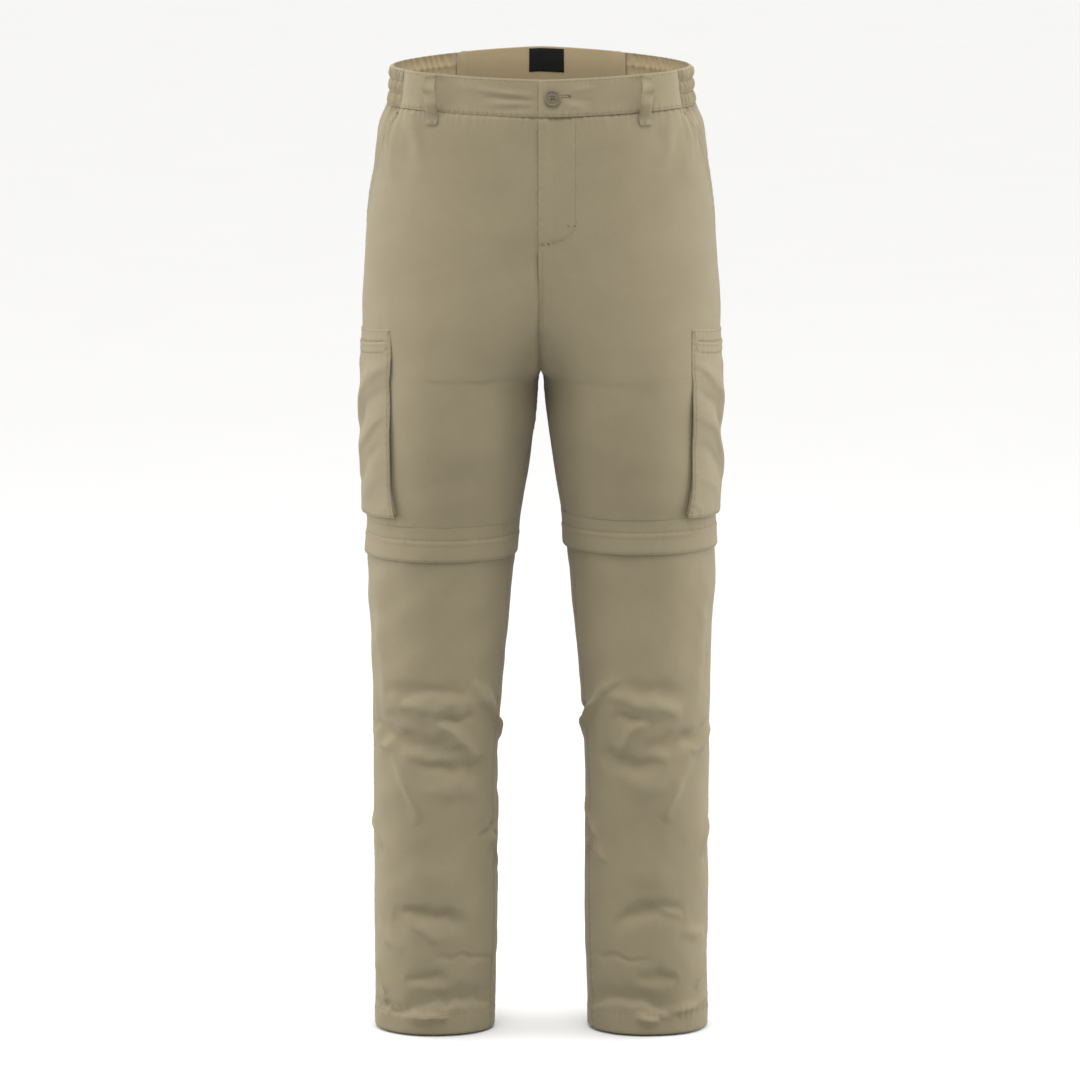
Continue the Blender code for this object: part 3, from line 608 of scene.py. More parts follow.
def makeWaistbands():
    def fixed(angle):
        return lambda z: angle + 0 * z

    gap = 0.05
    lapStart = float(angleAtX(-waist["lap"], 0.0))
    sideEdge = fixed(waist["elasticFront"] - gap)
    makeWaistband("frontBand_left", "waistband_front_left", 1, fixed(lapStart), sideEdge,
                  bandCreases["left"], True, (0.18, 0.041))
    makeWaistband("frontBand_right", "waistband_front_right", -1, fixed(90.04), sideEdge,
                  bandCreases["right"], False, (0.178, 0.041))
    makeWaistband("backBand", "waistband_back", 1, fixed(waist["elasticBack"] + gap),
                  fixed(540 - waist["elasticBack"] - gap), (), False, (0.204, 0.041))


def makeElastic(leg, sign):
    # cloth drawn up by elastic, in level channels, its gathers uneven and not quite in line
    draw = np.random.default_rng(61 if leg == "left" else 67)
    turns = waist["elasticBack"] - waist["elasticFront"]
    spacing = draw.uniform(0.65, 1.45, waist["gathers"])
    places = np.concatenate(([0], np.cumsum(spacing))) / spacing.sum()
    strength = draw.uniform(0.65, 1.15, waist["gathers"] + 1)
    shift = draw.uniform(-0.5, 0.5, (waist["channels"] + 1, 2))

    def gathers(at):
        share = (at["angle"] - waist["elasticFront"]) / turns
        down = at["fromTop"] / waist["height"] * waist["channels"]
        row = np.clip(down.astype(int), 0, waist["channels"] - 1)
        slide = 0.010 * np.sin(down * 2.1 + shift[row, 0] * 6) + 0.005 * np.sin(share * 37 + row * 2)
        phase = np.interp(share + slide, places, np.arange(len(places)))
        tall = np.interp(share, places, strength)
        ridge = (0.5 + 0.5 * np.cos(2 * math.pi * phase)) ** 1.3
        channel = np.abs(np.sin(math.pi * down)) ** 0.6
        calm = ease(share, 0, 0.03) * ease(1 - share, 0, 0.03)
        return calm * tall * waist["gatherDepth"] * (0.35 + 0.85 * channel) * ridge, channel

    def lift(at):
        ridge, channel = gathers(at)
        edges = -0.7 * bump(at["fromTop"], 1.4) - 0.6 * bump(at["fromBottom"], 1.4)
        seamEdges = 1.3 * (edgeRoll(at["fromStart"]) + edgeRoll(at["fromEnd"]))
        drawn = waist["elasticDrawn"] + 1.2 * ease(at["fromTop"], 8, 38)
        return waist["lift"] - drawn + ridge + 1.5 * channel + edges + seamEdges

    def inside(at):
        ridge, channel = gathers(at)
        drawn = waist["endDrawn"] + 1.2 * ease(at["fromTop"], 8, 38)
        return waist["lift"] - waist["thick"] - drawn + 0.5 * ridge + 0.7 * channel

    def fixed(angle):
        return lambda z: angle + 0 * z

    area = spread(fixed(waist["elasticFront"] + 0.05), fixed(waist["elasticBack"] - 0.05), bandTop, bandBottom,
                  shares(300, 165), shares(46, 41, (0, 0.5, 1.1, 1.8)))
    settings = {
        "flat": (0.21, 0.041), "held": "gathered", "finish": "khakiBand", "lining": "khakiInsidePaintedBright",
        "slot": "waistband_cloth", "inside": inside,
    }
    return makePanel(f"sideBand_{leg}", [f"side_elastic_{leg}"], sign, area, lift, settings)


knee = {"flapEnd": -517, "stand": 3.0, "thick": 1.8, "zipEnd": -502, "stitch": -492}


def makeKneeFlap(leg, sign, kneeRise):
    seed = 71 if leg == "left" else 73
    top, bottom = thighs["hem"] + kneeRise - 0.03, knee["flapEnd"] + kneeRise

    def lift(at):
        angle, z = at["angle"], at["z"] - kneeRise
        s = angle * figure["perDegree"]
        stand = knee["stand"] * ease(z, thighs["hem"], knee["flapEnd"])
        row = z - knee["stitch"]
        hem = z - knee["flapEnd"] - 2.4
        return (
            stand + 0.12 * edgeRoll(at["fromTop"]) - 0.9 * bump(at["fromBottom"], 1.2)
            - 0.4 * bump(row, 1.0) + 0.6 * bump(row + 4.0, 2.4) - 0.15 * bump(hem, 0.9)
            + pucker(s, row, seed, 8, 0.15, 5) + pucker(s, hem, seed + 1, 8, 0.15, 5)
            + 0.7 * softWaves(angle, z, seed + 2, 60, 1.0) * ease(-z, 488, 515)
        )

    across = np.linspace(0, 1, 321)[:-1]
    u, v = across[None, :], shares(30, 39, (0, 0.5, 1.0, 1.6))[:, None]
    angle = 360 * u + 0 * v
    z = top + (bottom - top) * v + 0 * u
    base = bodyPoint(angle, z)
    steps = np.linalg.norm(np.roll(base, -1, axis=1) - base, axis=-1)
    along = np.hstack((np.zeros((len(v), 1)), np.cumsum(steps, axis=1)[:, :-1]))
    at = {"angle": angle, "z": z, "along": along, "fromTop": top - z, "fromBottom": z - bottom}
    settings = {"flat": (0.53, 0.042), "held": "hung", "ring": True, "thick": 1.5,
                "restsOn": [f"frontPanel_{leg}", f"backPanel_{leg}"]}
    return makePanel(f"kneeBand_{leg}", [f"knee_flap_{leg}"], sign, at, lift, settings)


shins = {
    "hemTop": -1035, "end": -1058, "slit": 12, "depth": 1.25,
    # creases: from angle, from height, to angle, to height, lift, width above, width below, bow
    "right": (
        (140, -668, 58, -667, -2.8, 11, 9, 0), (152, -683, 46, -681, 4.4, 11, 9, 2),
        (57, -655, -8, -730, 6.0, 7, 5, -2), (30, -694, -10, -706, -4.0, 7, 6, 0),
        (92, -695, 52, -692, -3.2, 5, 6, 0), (98, -687, 46, -746, 4.0, 8, 7, 2),
        (168, -706, 64, -733, -5.2, 8, 9, 0), (170, -711, 132, -733, 4.4, 6, 7, 0),
        (139, -724, 103, -812, 4.0, 9, 8, 5), (114, -751, 32, -753, -5.6, 9, 13, 0),
        (106, -772, 44, -778, 2.0, 12, 12, 0), (180, -816, 146, -850, 2.8, 7, 6, 0),
        (174, -828, 150, -860, -2.2, 6, 6, 0), (-6, -790, 30, -850, 2.6, 5, 4, 0),
        (36, -812, 6, -884, 2.6, 4, 5, 0), (20, -822, 44, -836, -2.2, 6, 6, 0),
        (132, -922, 54, -934, -5.6, 8, 13, 9), (128, -916, 84, -950, 3.0, 7, 6, 0),
        (160, -936, 122, -964, 2.4, 8, 8, 0), (90, -967, 22, -975, -1.6, 3, 4, 0),
        (118, -995, 76, -994, -3.6, 7, 8, 3), (166, -974, 144, -1016, 3.4, 6, 5, 0),
        (174, -984, 154, -1006, -2.8, 5, 5, 0), (118, -1028, 18, -1027, -5.2, 13, 5, 9),
        (120, -1037, 74, -1037, 4.6, 4, 6, 0), (174, -1026, 112, -1034, -4.4, 6, 4, 0),
        (152, -528, 141, -690, 1.8, 11, 9, 0), (30, -560, 16, -650, 1.3, 8, 8, 0),
        (120, -870, 60, -880, 1.2, 16, 14, 0),
    ),
    "left": (
        (132, -672, 60, -660, -2.8, 11, 9, 0), (54, -669, 124, -690, 4.4, 11, 9, 2),
        (64, -650, -6, -726, 6.0, 7, 5, -2), (30, -690, -10, -704, -4.0, 7, 6, 0),
        (98, -684, 60, -740, 4.0, 8, 7, 4), (96, -694, 56, -694, -3.2, 5, 6, 0),
        (176, -708, 76, -731, -5.2, 8, 9, 0), (178, -713, 131, -737, 4.4, 6, 7, 0),
        (138, -728, 106, -812, 4.0, 9, 8, 4), (40, -737, 106, -751, -5.6, 9, 13, 0),
        (50, -764, 112, -776, 2.0, 12, 12, 0), (172, -816, 148, -858, 2.8, 7, 6, 0),
        (172, -832, 152, -866, -2.2, 6, 6, 0), (4, -790, 36, -838, 2.6, 5, 4, 0),
        (36, -818, 8, -866, 2.6, 4, 5, 0), (30, -838, 52, -860, 2.2, 5, 5, 0),
        (58, -932, 130, -921, -5.6, 8, 13, 16), (92, -906, 130, -926, 2.8, 7, 6, 0),
        (124, -936, 158, -952, 2.2, 8, 8, 0), (26, -966, 96, -972, -1.4, 3, 4, 0),
        (80, -992, 120, -998, -3.2, 7, 8, 3), (168, -970, 144, -1010, 3.4, 6, 5, 0),
        (176, -980, 156, -1000, -2.8, 5, 5, 0), (12, -1031, 122, -1037, -5.2, 13, 5, 17),
        (76, -1037, 102, -1039, 4.6, 4, 6, 0), (98, -1037, 172, -1019, 3.4, 6, 5, 0),
        (152, -528, 141, -690, 1.8, 11, 9, 0), (30, -560, 16, -650, 1.3, 8, 8, 0),
        (60, -868, 120, -878, 1.2, 16, 14, 0),
    ),
    "back": (
        (196, -640, 326, -652, -4.4, 11, 12, 3), (204, -662, 300, -668, 3.6, 10, 8, 0),
        (250, -676, 340, -660, 4.2, 10, 7, 3), (206, -694, 312, -704, -5.0, 9, 11, 2),
        (214, -712, 270, -738, 3.4, 8, 7, 3), (330, -706, 262, -730, 3.6, 8, 7, -3),
        (222, -742, 336, -728, -4.6, 9, 12, 0), (204, -766, 240, -812, 3.0, 8, 8, 4),
        (330, -760, 290, -812, 3.0, 8, 8, -4), (210, -800, 304, -790, -3.6, 11, 12, 0),
        (226, -850, 320, -862, 1.8, 14, 12, 0), (214, -906, 330, -918, -4.2, 9, 12, 4),
        (206, -930, 262, -944, 2.6, 8, 8, 0), (206, -968, 306, -956, -3.2, 8, 10, 4),
        (196, -996, 228, -1026, 3.2, 6, 6, 0), (226, -1020, 336, -1018, -4.8, 11, 5, 6),
        (236, -1038, 300, -1038, 3.6, 4, 6, 0), (198, -545, 210, -660, 1.6, 11, 10, 0),
    ),
}


def shinLift(leg, kneeRise, angle, z, seed):
    tucked = 1.2 * (1 - ease(z - kneeRise, knee["zipEnd"], knee["flapEnd"] - 14))
    hem = 0.5 * ease(z, shins["hemTop"] + 1.2, shins["hemTop"] - 1.2)
    folds = shins[leg] + shins["back"]
    inward = np.where(angle > 348, angle - 360, angle)
    calm = 1 - 0.75 * ease(z, shins["hemTop"] - 8, shins["end"])
    return (
        shins["depth"] * foldLift(folds, inward, z, seed) * calm + hem - tucked
        + softWaves(angle % 360, z, seed + 7, 75, 0.7) + softWaves(angle % 360, z, seed + 8, 22, 0.12)
    )


def makeShin(leg, sign, kneeRise):
    seed = 81 if leg == "left" else 91
    top, bottom = knee["zipEnd"] + kneeRise - 0.3, shins["end"]
    for panel, start, end in (("front", inseamStart, sideEnd), ("back", sideStart, inseamEnd)):
        def lift(at):
            s = at["along"]
            row = at["z"] - shins["hemTop"]
            outerEdge = at["fromEnd"] if panel == "front" else at["fromStart"]
            slit = ease(-at["z"], -shins["end"] - shins["slit"] - 3, -shins["end"] - shins["slit"])
            return (
                shinLift(leg, kneeRise, at["angle"], at["z"], seed)
                + seamLine(at["z"], at["fromStart"], seed + 1, 0.4) + seamLine(at["z"], at["fromEnd"], seed + 2, 0.4)
                - 0.8 * bump(at["fromBottom"], 1.2) - 0.45 * bump(row, 1.2)
                + pucker(s, row, seed + 3, 9, 0.4, 7) - 1.6 * slit * bump(outerEdge, 2.4)
            )

        area = spread(start, end, level(top), level(bottom), shares(98, 210), shares(268, 556))
        wide, cut = (0.25, 0.119) if panel == "front" else (0.29, 0.139)
        settings = {"flat": (wide, 0.57), "area": cut, "held": "hung", "restsOn": [f"kneeZip_{leg}"]}
        makePanel(f"{panel}Shin_{leg}", [f"lower_{panel}_{leg}"], sign, area, lift, settings)


def makeZip(leg, sign, kneeRise):
    # the closed zip that joins shorts and lower leg, hidden under the band
    zipTop, zipBottom = thighs["hem"] + kneeRise - 2, knee["zipEnd"] + kneeRise

    def lift(at):
        z = at["z"] - kneeRise
        stand = knee["stand"] * ease(z, thighs["hem"], knee["flapEnd"])
        middle = at["z"] - (zipTop + zipBottom) / 2
        teeth = 0.5 * bump(middle, 2.2) * (0.75 + 0.25 * np.cos(at["angle"] * 2 * math.pi * 5 / 6))
        return stand - knee["thick"] - 1.2 + teeth

    across, down = np.linspace(0, 1, 241)[:-1][None, :], np.linspace(0, 1, 16)[:, None]
    angle, z = 360 * across + 0 * down, zipTop + (zipBottom - zipTop) * down + 0 * across
    at = {"angle": angle, "z": z, "along": angle * figure["perDegree"]}
    settings = {"flat": (0.52, 0.022), "held": "hung", "ring": True, "thick": 1.0, "finish": "zipTape",
                "slot": "zip_tape", "restsOn": [f"kneeBand_{leg}"]}
    makePanel(f"kneeZip_{leg}", [f"knee_zip_{leg}"], sign, at, lift, settings)


cargo = {
    "front": 131, "back": 226, "top": -263, "height": 208, "stand": 3.6, "swell": (0.0, 0.30), "legGap": 2.0,
    # degrees that each edge lies outside its angle, and how far the front edge stands off, by share of height
    "flare": ((0, -7.7), (0.13, -4.4), (0.32, -1.8), (0.56, -1.0), (0.8, 0.4), (1, 6)),
    "edgeStand": ((0, 0), (0.2, -2.0), (0.6, -1.4), (0.85, 0.4), (1, 1.8)),
    # how the top and bottom edges rise towards the front, by angle
    "topRise": ((134, 6.5), (160, 0), (182, -2.5)), "bottomRise": ((126, 3.8), (150, 1), (175, 0)),
    "welt": -277, "weltHeight": 12, "weltEnd": 5.5, "plainTo": -291,
    # drag creases that run down and back from the pocket's front edge, and slacker ones behind
    "folds": (
        (133, -290, 180, -376, 3.8, 11, 5, 5), (136, -322, 176, -388, -3.4, 5, 9, 5),
        (133, -346, 180, -436, 3.8, 11, 5, 8), (136, -384, 174, -444, -3.0, 6, 9, 6),
        (150, -300, 138, -318, 1.4, 5, 5, 0), (134, -420, 168, -456, 1.4, 9, 6, 3),
        (128, -446, 140, -462, 1.6, 4, 4, 0), (152, -298, 206, -312, 1.0, 9, 9, 0),
        (224, -300, 192, -350, 3.0, 9, 6, 4), (224, -322, 194, -374, -2.4, 7, 8, 4),
        (224, -350, 190, -404, 2.8, 9, 6, 4), (222, -404, 186, -446, 2.2, 9, 7, 3),
    ),
}
pocketFlare, pocketStand, pocketTop, pocketBottom = (
    smoothCurve(cargo[key]) for key in ("flare", "edgeStand", "topRise", "bottomRise")
)


def cargoShares(angle, z):
    return (angle - cargo["front"]) / (cargo["back"] - cargo["front"]), (cargo["top"] - z) / cargo["height"]


def cargoLift(angle, z):
    across, down = cargoShares(angle, z)
    stand = cargo["stand"] * ease(down, *cargo["swell"]) + pocketStand(down) * np.abs(2 * across - 1) ** 3
    return cargo["legGap"] + np.maximum(stand, 0)


def cargoEdge(edge, way):
    return lambda z: edge + way * pocketFlare((cargo["top"] - z) / cargo["height"])


def cargoTop(angle):
    return cargo["top"] + pocketTop(np.minimum(angle, 360 - angle))


def cargoBottom(angle):
    return cargo["top"] - cargo["height"] + pocketBottom(np.minimum(angle, 360 - angle))


def makeCargo(leg, sign):
    seed = 101 if leg == "left" else 107

    def lift(at):
        angle, z = at["angle"], at["z"]
        across = cargoShares(angle, z)[0]
        calm = np.sin(math.pi * np.clip(across, 0, 1)) ** 0.35
        edge = np.minimum(at["fromStart"], at["fromEnd"])
        down = at["fromTop"]
        # the welt over the pocket's zip: an opening along its top, and a stitched line round its ends and foot
        middle = (cargo["top"] - cargo["welt"]) + cargo["weltHeight"] / 2
        outX = np.maximum(cargo["weltEnd"] + cargo["weltHeight"] / 2 - edge, 0)
        outline = np.hypot(outX, down - middle) - cargo["weltHeight"] / 2
        inWelt = ease(-outline, -0.8, 0.8)
        opening = -1.7 * bump(down - middle + cargo["weltHeight"] / 2, 0.9) * ease(edge, cargo["weltEnd"], 11)
        lip = 0.7 * bump(down - middle + cargo["weltHeight"] / 2 - 2.4, 1.5) * ease(edge, cargo["weltEnd"], 11)
        weltLift = 0.55 * inWelt - 0.45 * bump(outline, 0.8) + opening + lip
        rows = -0.35 * bump(edge - 2.4, 0.9) - 0.35 * bump(at["fromBottom"] - 2.4, 0.9)
        free = ease(-z, -cargo["plainTo"] - 4, -cargo["plainTo"] + 12)
        return (
            cargoLift(angle, z) + weltLift + rows
            + foldLift(cargo["folds"], angle, z, seed) * calm * free
            - 0.9 * bump(edge, 1.3) - 0.9 * bump(at["fromBottom"], 1.3) - 0.9 * bump(down, 1.2)
            + pucker(z, edge, seed + 1, height=0.2, reach=8)
            + pucker(at["along"], at["fromBottom"], seed + 2, height=0.25, reach=8)
            + pucker(at["along"], down, seed + 3, height=0.2, reach=6)
            + pucker(at["along"], outline, seed + 5, height=0.25, reach=4)
            + softWaves(angle, z, seed + 4, 60, 0.8) * free
        )

    area = spread(cargoEdge(cargo["front"], -1), cargoEdge(cargo["back"], 1), cargoTop, cargoBottom,
                  shares(146, 175), shares(176, 208))
    settings = {"flat": (0.19, 0.225), "held": "hung", "finish": "khakiPocket", "slot": "pocket_cloth",
                "restsOn": [f"frontPanel_{leg}", f"backPanel_{leg}"]}
    makePanel(f"cargoPocket_{leg}", [f"cargo_pocket_{leg}"], sign, area, lift, settings)


def makeGusset(leg, sign):
    # the folded strip that lets the pocket's front, bottom and back edges stand off the leg
    inset, start = 1.4, 0.10
    bottom = 1 - inset / cargo["height"]
    turn = inset / figure["perDegree"] / 0.8
    down = np.linspace(start, bottom, 70)
    outX = pocketFlare(down)
    front, back = cargo["front"] - outX + turn, cargo["back"] + outX - turn
    across = np.linspace(front[-1], back[-1], 70)[1:-1]
    angle = np.concatenate((front, across, back[::-1]))
    share = np.concatenate((down, np.full(68, bottom), down[::-1]))
    z = (cargo["top"] - cargo["height"] * share + share**4 * pocketBottom(np.minimum(angle, 360 - angle)))[:, None]
    tall = np.linspace(0, 1, 9)[None, :]
    inward = 1.1
    pull = inward / figure["perDegree"]
    angleIn = np.concatenate((front + pull, np.clip(across, front[-1] + pull, back[-1] - pull), back[::-1] - pull))
    angleIn, angle = angleIn[:, None], angle[:, None]
    zIn = z + inward * (share[:, None] > bottom - 0.006)
    topLift = cargoLift(angle, z) - 1.5
    grids = []
    for places, heights, bulge in ((angle, z, 0.5), (angleIn, zIn, 0.0)):
        lift = 0.5 + (topLift - 0.5) * tall
        out = bulge * np.sin(math.pi * tall) * np.sign(places - 180) / figure["perDegree"]
        grids.append(onBody(places + out, heights, lift))
    along = np.linspace(0, 600, len(share))[:, None] + 0 * tall
    uv = np.stack((along, 8 * tall + 0 * along), axis=-1)
    piece = makeWall(f"pocketGusset_{leg}", sign, grids[1], grids[0], uv, finish="khakiPocket")
    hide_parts(f"cargo_gusset_{leg}")


loops = {
    "width": 14, "thick": 1.5, "gap": 11.5, "below": 14, "tab": 4, "back": 241, "middle": 270,
    "frontLeft": 129.4, "frontRight": 132.0, "stitchInset": 1.7, "turn": 64, "lean": 6.5,
}


def makeLoop(name, node, sign, angle, turn):
    # a folded strip, sewn down at the band's top and below the band, and bowed out between; its top is turned
    top = float(bandTop(angle)) - 0.8
    bottom = float(bandBottom(angle)) - loops["below"]
    down = np.linspace(0, 1, 97)
    z = top + (bottom - top) * down
    rise = ease(top - z, loops["tab"] * 0.4, loops["tab"] + 13)
    fall = ease(z - bottom, loops["tab"] + 2, loops["tab"] + 22)
    rest = waist["lift"] * ease(z, bandBottom(angle) - 2, bandBottom(angle)) + 0.35
    away = bodyNormal(angle, np.array((top + bottom) / 2))
    away = np.array((away[0], away[1], 0)) / math.hypot(away[0], away[1])
    flatWay = np.array((-away[1], away[0], 0))
    ends = 0.8 * bump(down - 0.04, 0.03) + 0.9 * bump(down - 0.95, 0.03)
    out = rest + loops["gap"] * rise * fall + ends
    twist = np.radians(turn) * (1 - ease(down, 0.02, 0.42))
    lean = turn / loops["turn"] * loops["lean"] * (1 - ease(down, 0.0, 0.62))
    path = bodyPoint(angle, z) + away * (out + 5.5 * np.sin(np.abs(twist)))[:, None] + flatWay * lean[:, None]
    sideways = flatWay * np.cos(twist)[:, None] + away * np.sin(twist)[:, None]
    run = np.gradient(path, axis=0)
    square = np.cross(sideways, run)
    square /= np.linalg.norm(square, axis=1, keepdims=True)
    if (square @ away).mean() < 0:
        square = -square
    across = np.linspace(-1, 1, 21)[None, :]
    place = across * loops["width"] / 2
    inset = loops["width"] / 2 - np.abs(place)
    dome = loops["thick"] * (0.62 + 0.38 * (1 - np.abs(across) ** 6)) - 0.22 * bump(inset - loops["stitchInset"], 0.6)
    curl = -0.5 * across**2 * (rise * fall)[:, None]
    under = 0.25 * np.abs(across) ** 6 + 0 * z[:, None]
    outer, inner = (
        path[:, None] + sideways[:, None] * place[..., None] + square[:, None] * (height + curl)[..., None]
        for height in (dome, under)
    )
    length = np.cumsum(np.linalg.norm(run, axis=1))[:, None]
    uv = np.stack((place + 0 * length, 0 * place - length), axis=-1)
    # the wall's columns run against the sweep, so its grids are turned round
    piece = makeWall(name, sign, outer[:, ::-1], inner[:, ::-1], uv[:, ::-1], finish="khakiBand")
    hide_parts(node)
    return piece


label = {"width": 39, "height": 26, "thick": 0.8, "shift": 6, "drop": 2}


def makeLabel():
    radius = sectionCurves[0](waist["sideTop"])
    half = math.degrees(math.asin(label["width"] / 2 / radius))
    middle = 270 - math.degrees(math.asin(label["shift"] / radius))

    def fixed(angle):
        return lambda z: angle + 0 * z

    def top(angle):
        return bandTop(angle) - label["drop"]

    def bottom(angle):
        return top(angle) - label["height"]

    def lift(at):
        edge = np.minimum.reduce([at[side] for side in ("fromStart", "fromEnd", "fromTop", "fromBottom")])
        return waist["lift"] - waist["thick"] - 0.25 + 0 * edge

    def inside(at):
        edge = np.minimum.reduce([at[side] for side in ("fromStart", "fromEnd", "fromTop", "fromBottom")])
        thick = label["thick"] * (0.5 + 0.5 * ease(edge, 0, 1.2))
        return lift(at) - thick - softWaves(at["angle"], at["z"], 5, 18, 0.2)

    area = spread(fixed(middle - half), fixed(middle + half), top, bottom, shares(34, 39, (0, 0.4, 1.0)),
                  shares(24, 26, (0, 0.4, 1.0)))
    settings = {"flat": (0.039, 0.026), "held": "hung", "finish": "labelCloth", "slot": "label", "inside": inside,
                "restsOn": ["backBand"]}
    makePanel("bareLabel", ["label"], 1, area, lift, settings)


stitch = {"pitch": 3.3, "long": 2.5, "wide": 0.62, "high": 0.42, "sunk": 0.06}
threads = {}


def addStitch(group, start, end, out, long=None, size=1.0):
    # one stitch: a slim eight-sided bead of thread from start to end
    middle, run = (start + end) / 2, end - start
    length = np.linalg.norm(run)
    if length < 1e-6:
        return
    run = run / length
    sideways = np.cross(run, out)
    sideways /= np.linalg.norm(sideways)
    out = np.cross(sideways, run)
    half = (long or length) / 2
    wide, high = stitch["wide"] * size / 2, stitch["high"] * size
    points = [
        middle - run * half, middle - run * half * 0.45 + sideways * wide, middle - run * half * 0.45 + out * high,
        middle - run * half * 0.45 - sideways * wide, middle + run * half * 0.45 + sideways * wide,
        middle + run * half * 0.45 + out * high, middle + run * half * 0.45 - sideways * wide, middle + run * half,
        middle - out * 0.15,
    ]
    faces = (
        (0, 2, 1), (0, 3, 2), (1, 2, 5), (1, 5, 4), (2, 3, 6), (2, 6, 5), (4, 5, 7), (5, 6, 7),
        (0, 1, 8), (1, 4, 8), (4, 7, 8), (7, 6, 8), (6, 3, 8), (3, 0, 8),
    )
    store = threads.setdefault(group, {"points": [], "faces": []})
    first = len(store["points"])
    store["points"].extend(points)
    store["faces"].extend(tuple(i + first for i in face) for face in faces)


def surfaceTree(name):
    # the shape of a piece, for finding where its stitches lie
    piece = bpy.data.objects[name]
    vertices = [tuple(v.co) for v in piece.data.vertices]
    return BVHTree.FromPolygons(vertices, [tuple(p.vertices) for p in piece.data.polygons])


trees = {}


def sewRow(group, name, sign, angles, heights, pitch=None, outside=9, size=1.0):
    # a row of stitches along a line of places, laid on the piece that it is sewn through
    if name not in trees:
        trees[name] = surfaceTree(name)
    angles, heights = np.broadcast_arrays(np.asarray(angles, float), np.asarray(heights, float))
    base = onBody(angles, heights, 0 * angles)
    length = np.concatenate(([0], np.cumsum(np.linalg.norm(np.diff(base, axis=0), axis=1))))
    pitch = pitch or stitch["pitch"]
    count = max(1, int(length[-1] / pitch))
    starts = (np.arange(count) + 0.5 - stitch["long"] / pitch / 2) * length[-1] / count
    places = np.concatenate((starts, starts + stitch["long"]))
    angle, z = np.interp(places, length, angles), np.interp(places, length, heights)
    out = bodyNormal(angle, z)
    here = onBody(angle, z, outside + 0 * angle)
    flip = np.array((sign, 1, 1))
    found = []
    for point, away in zip(here * flip, out * flip):
        hit, normal, _, _ = trees[name].ray_cast(Vector(point * toMetres), Vector(-away), 0.03)
        found.append(None if hit is None else (np.array(hit) / toMetres, np.array(normal)))
    for i in range(count):
        a, b = found[i], found[i + count]
        if a and b and np.linalg.norm(a[0] - b[0]) < 2 * stitch["long"]:
            out = a[1] + b[1]
            out = out / np.linalg.norm(out)
            addStitch(group, a[0] - out * stitch["sunk"], b[0] - out * stitch["sunk"], out, size=size)


def finishThreads():
    for group, store in threads.items():
        piece = makeMesh(f"stitching_{group}", store["points"], store["faces"], finish="thread")


def sewWaist():
    height = waist["height"]
    for name, sign, start, end in (
        ("frontBand_left", 1, 91.5, 154.5), ("frontBand_right", -1, 92.5, 154.5), ("backBand", 1, 237, 303),
    ):
        angles = np.linspace(start, end, 160)
        for down in (2.6, height - 2.6):
            sewRow("waist", name, sign, angles, bandTop(angles) - down)
    for leg, row in legs.items():
        angles = np.linspace(157, 234, 240)
        for down in (2.6, height / 3, height * 2 / 3, height - 2.6):
            sewRow("waist", f"sideBand_{leg}", row["sign"], angles, bandTop(angles) - down, pitch=2.8)
        for edge in (156, 235):
            name = f"sideBand_{leg}"
            place = edge + (1.2 if edge == 156 else -1.2)
            heights = np.linspace(float(bandTop(place)) - 3, float(bandBottom(place)) + 3, 20)
            sewRow("waist", name, row["sign"], place, heights)


def bartack(group, name, sign, angle, height, width, tall, upright=False):
    # close short stitches that lock the end of a seam or a loop
    count = max(3, int((width if upright else tall) / 0.75))
    for i in range(count):
        step = (i / (count - 1) - 0.5)
        if upright:
            turn = angle + step * width / figure["perDegree"]
            sewRow(group, name, sign, np.array((turn, turn)), np.array((height - tall / 2, height + tall / 2)),
                   pitch=tall, size=1.2)
        else:
            half = width / 2 / figure["perDegree"]
            row = height + step * tall
            sewRow(group, name, sign, np.array((angle - half, angle + half)), np.array((row, row)),
                   pitch=width, size=1.2)


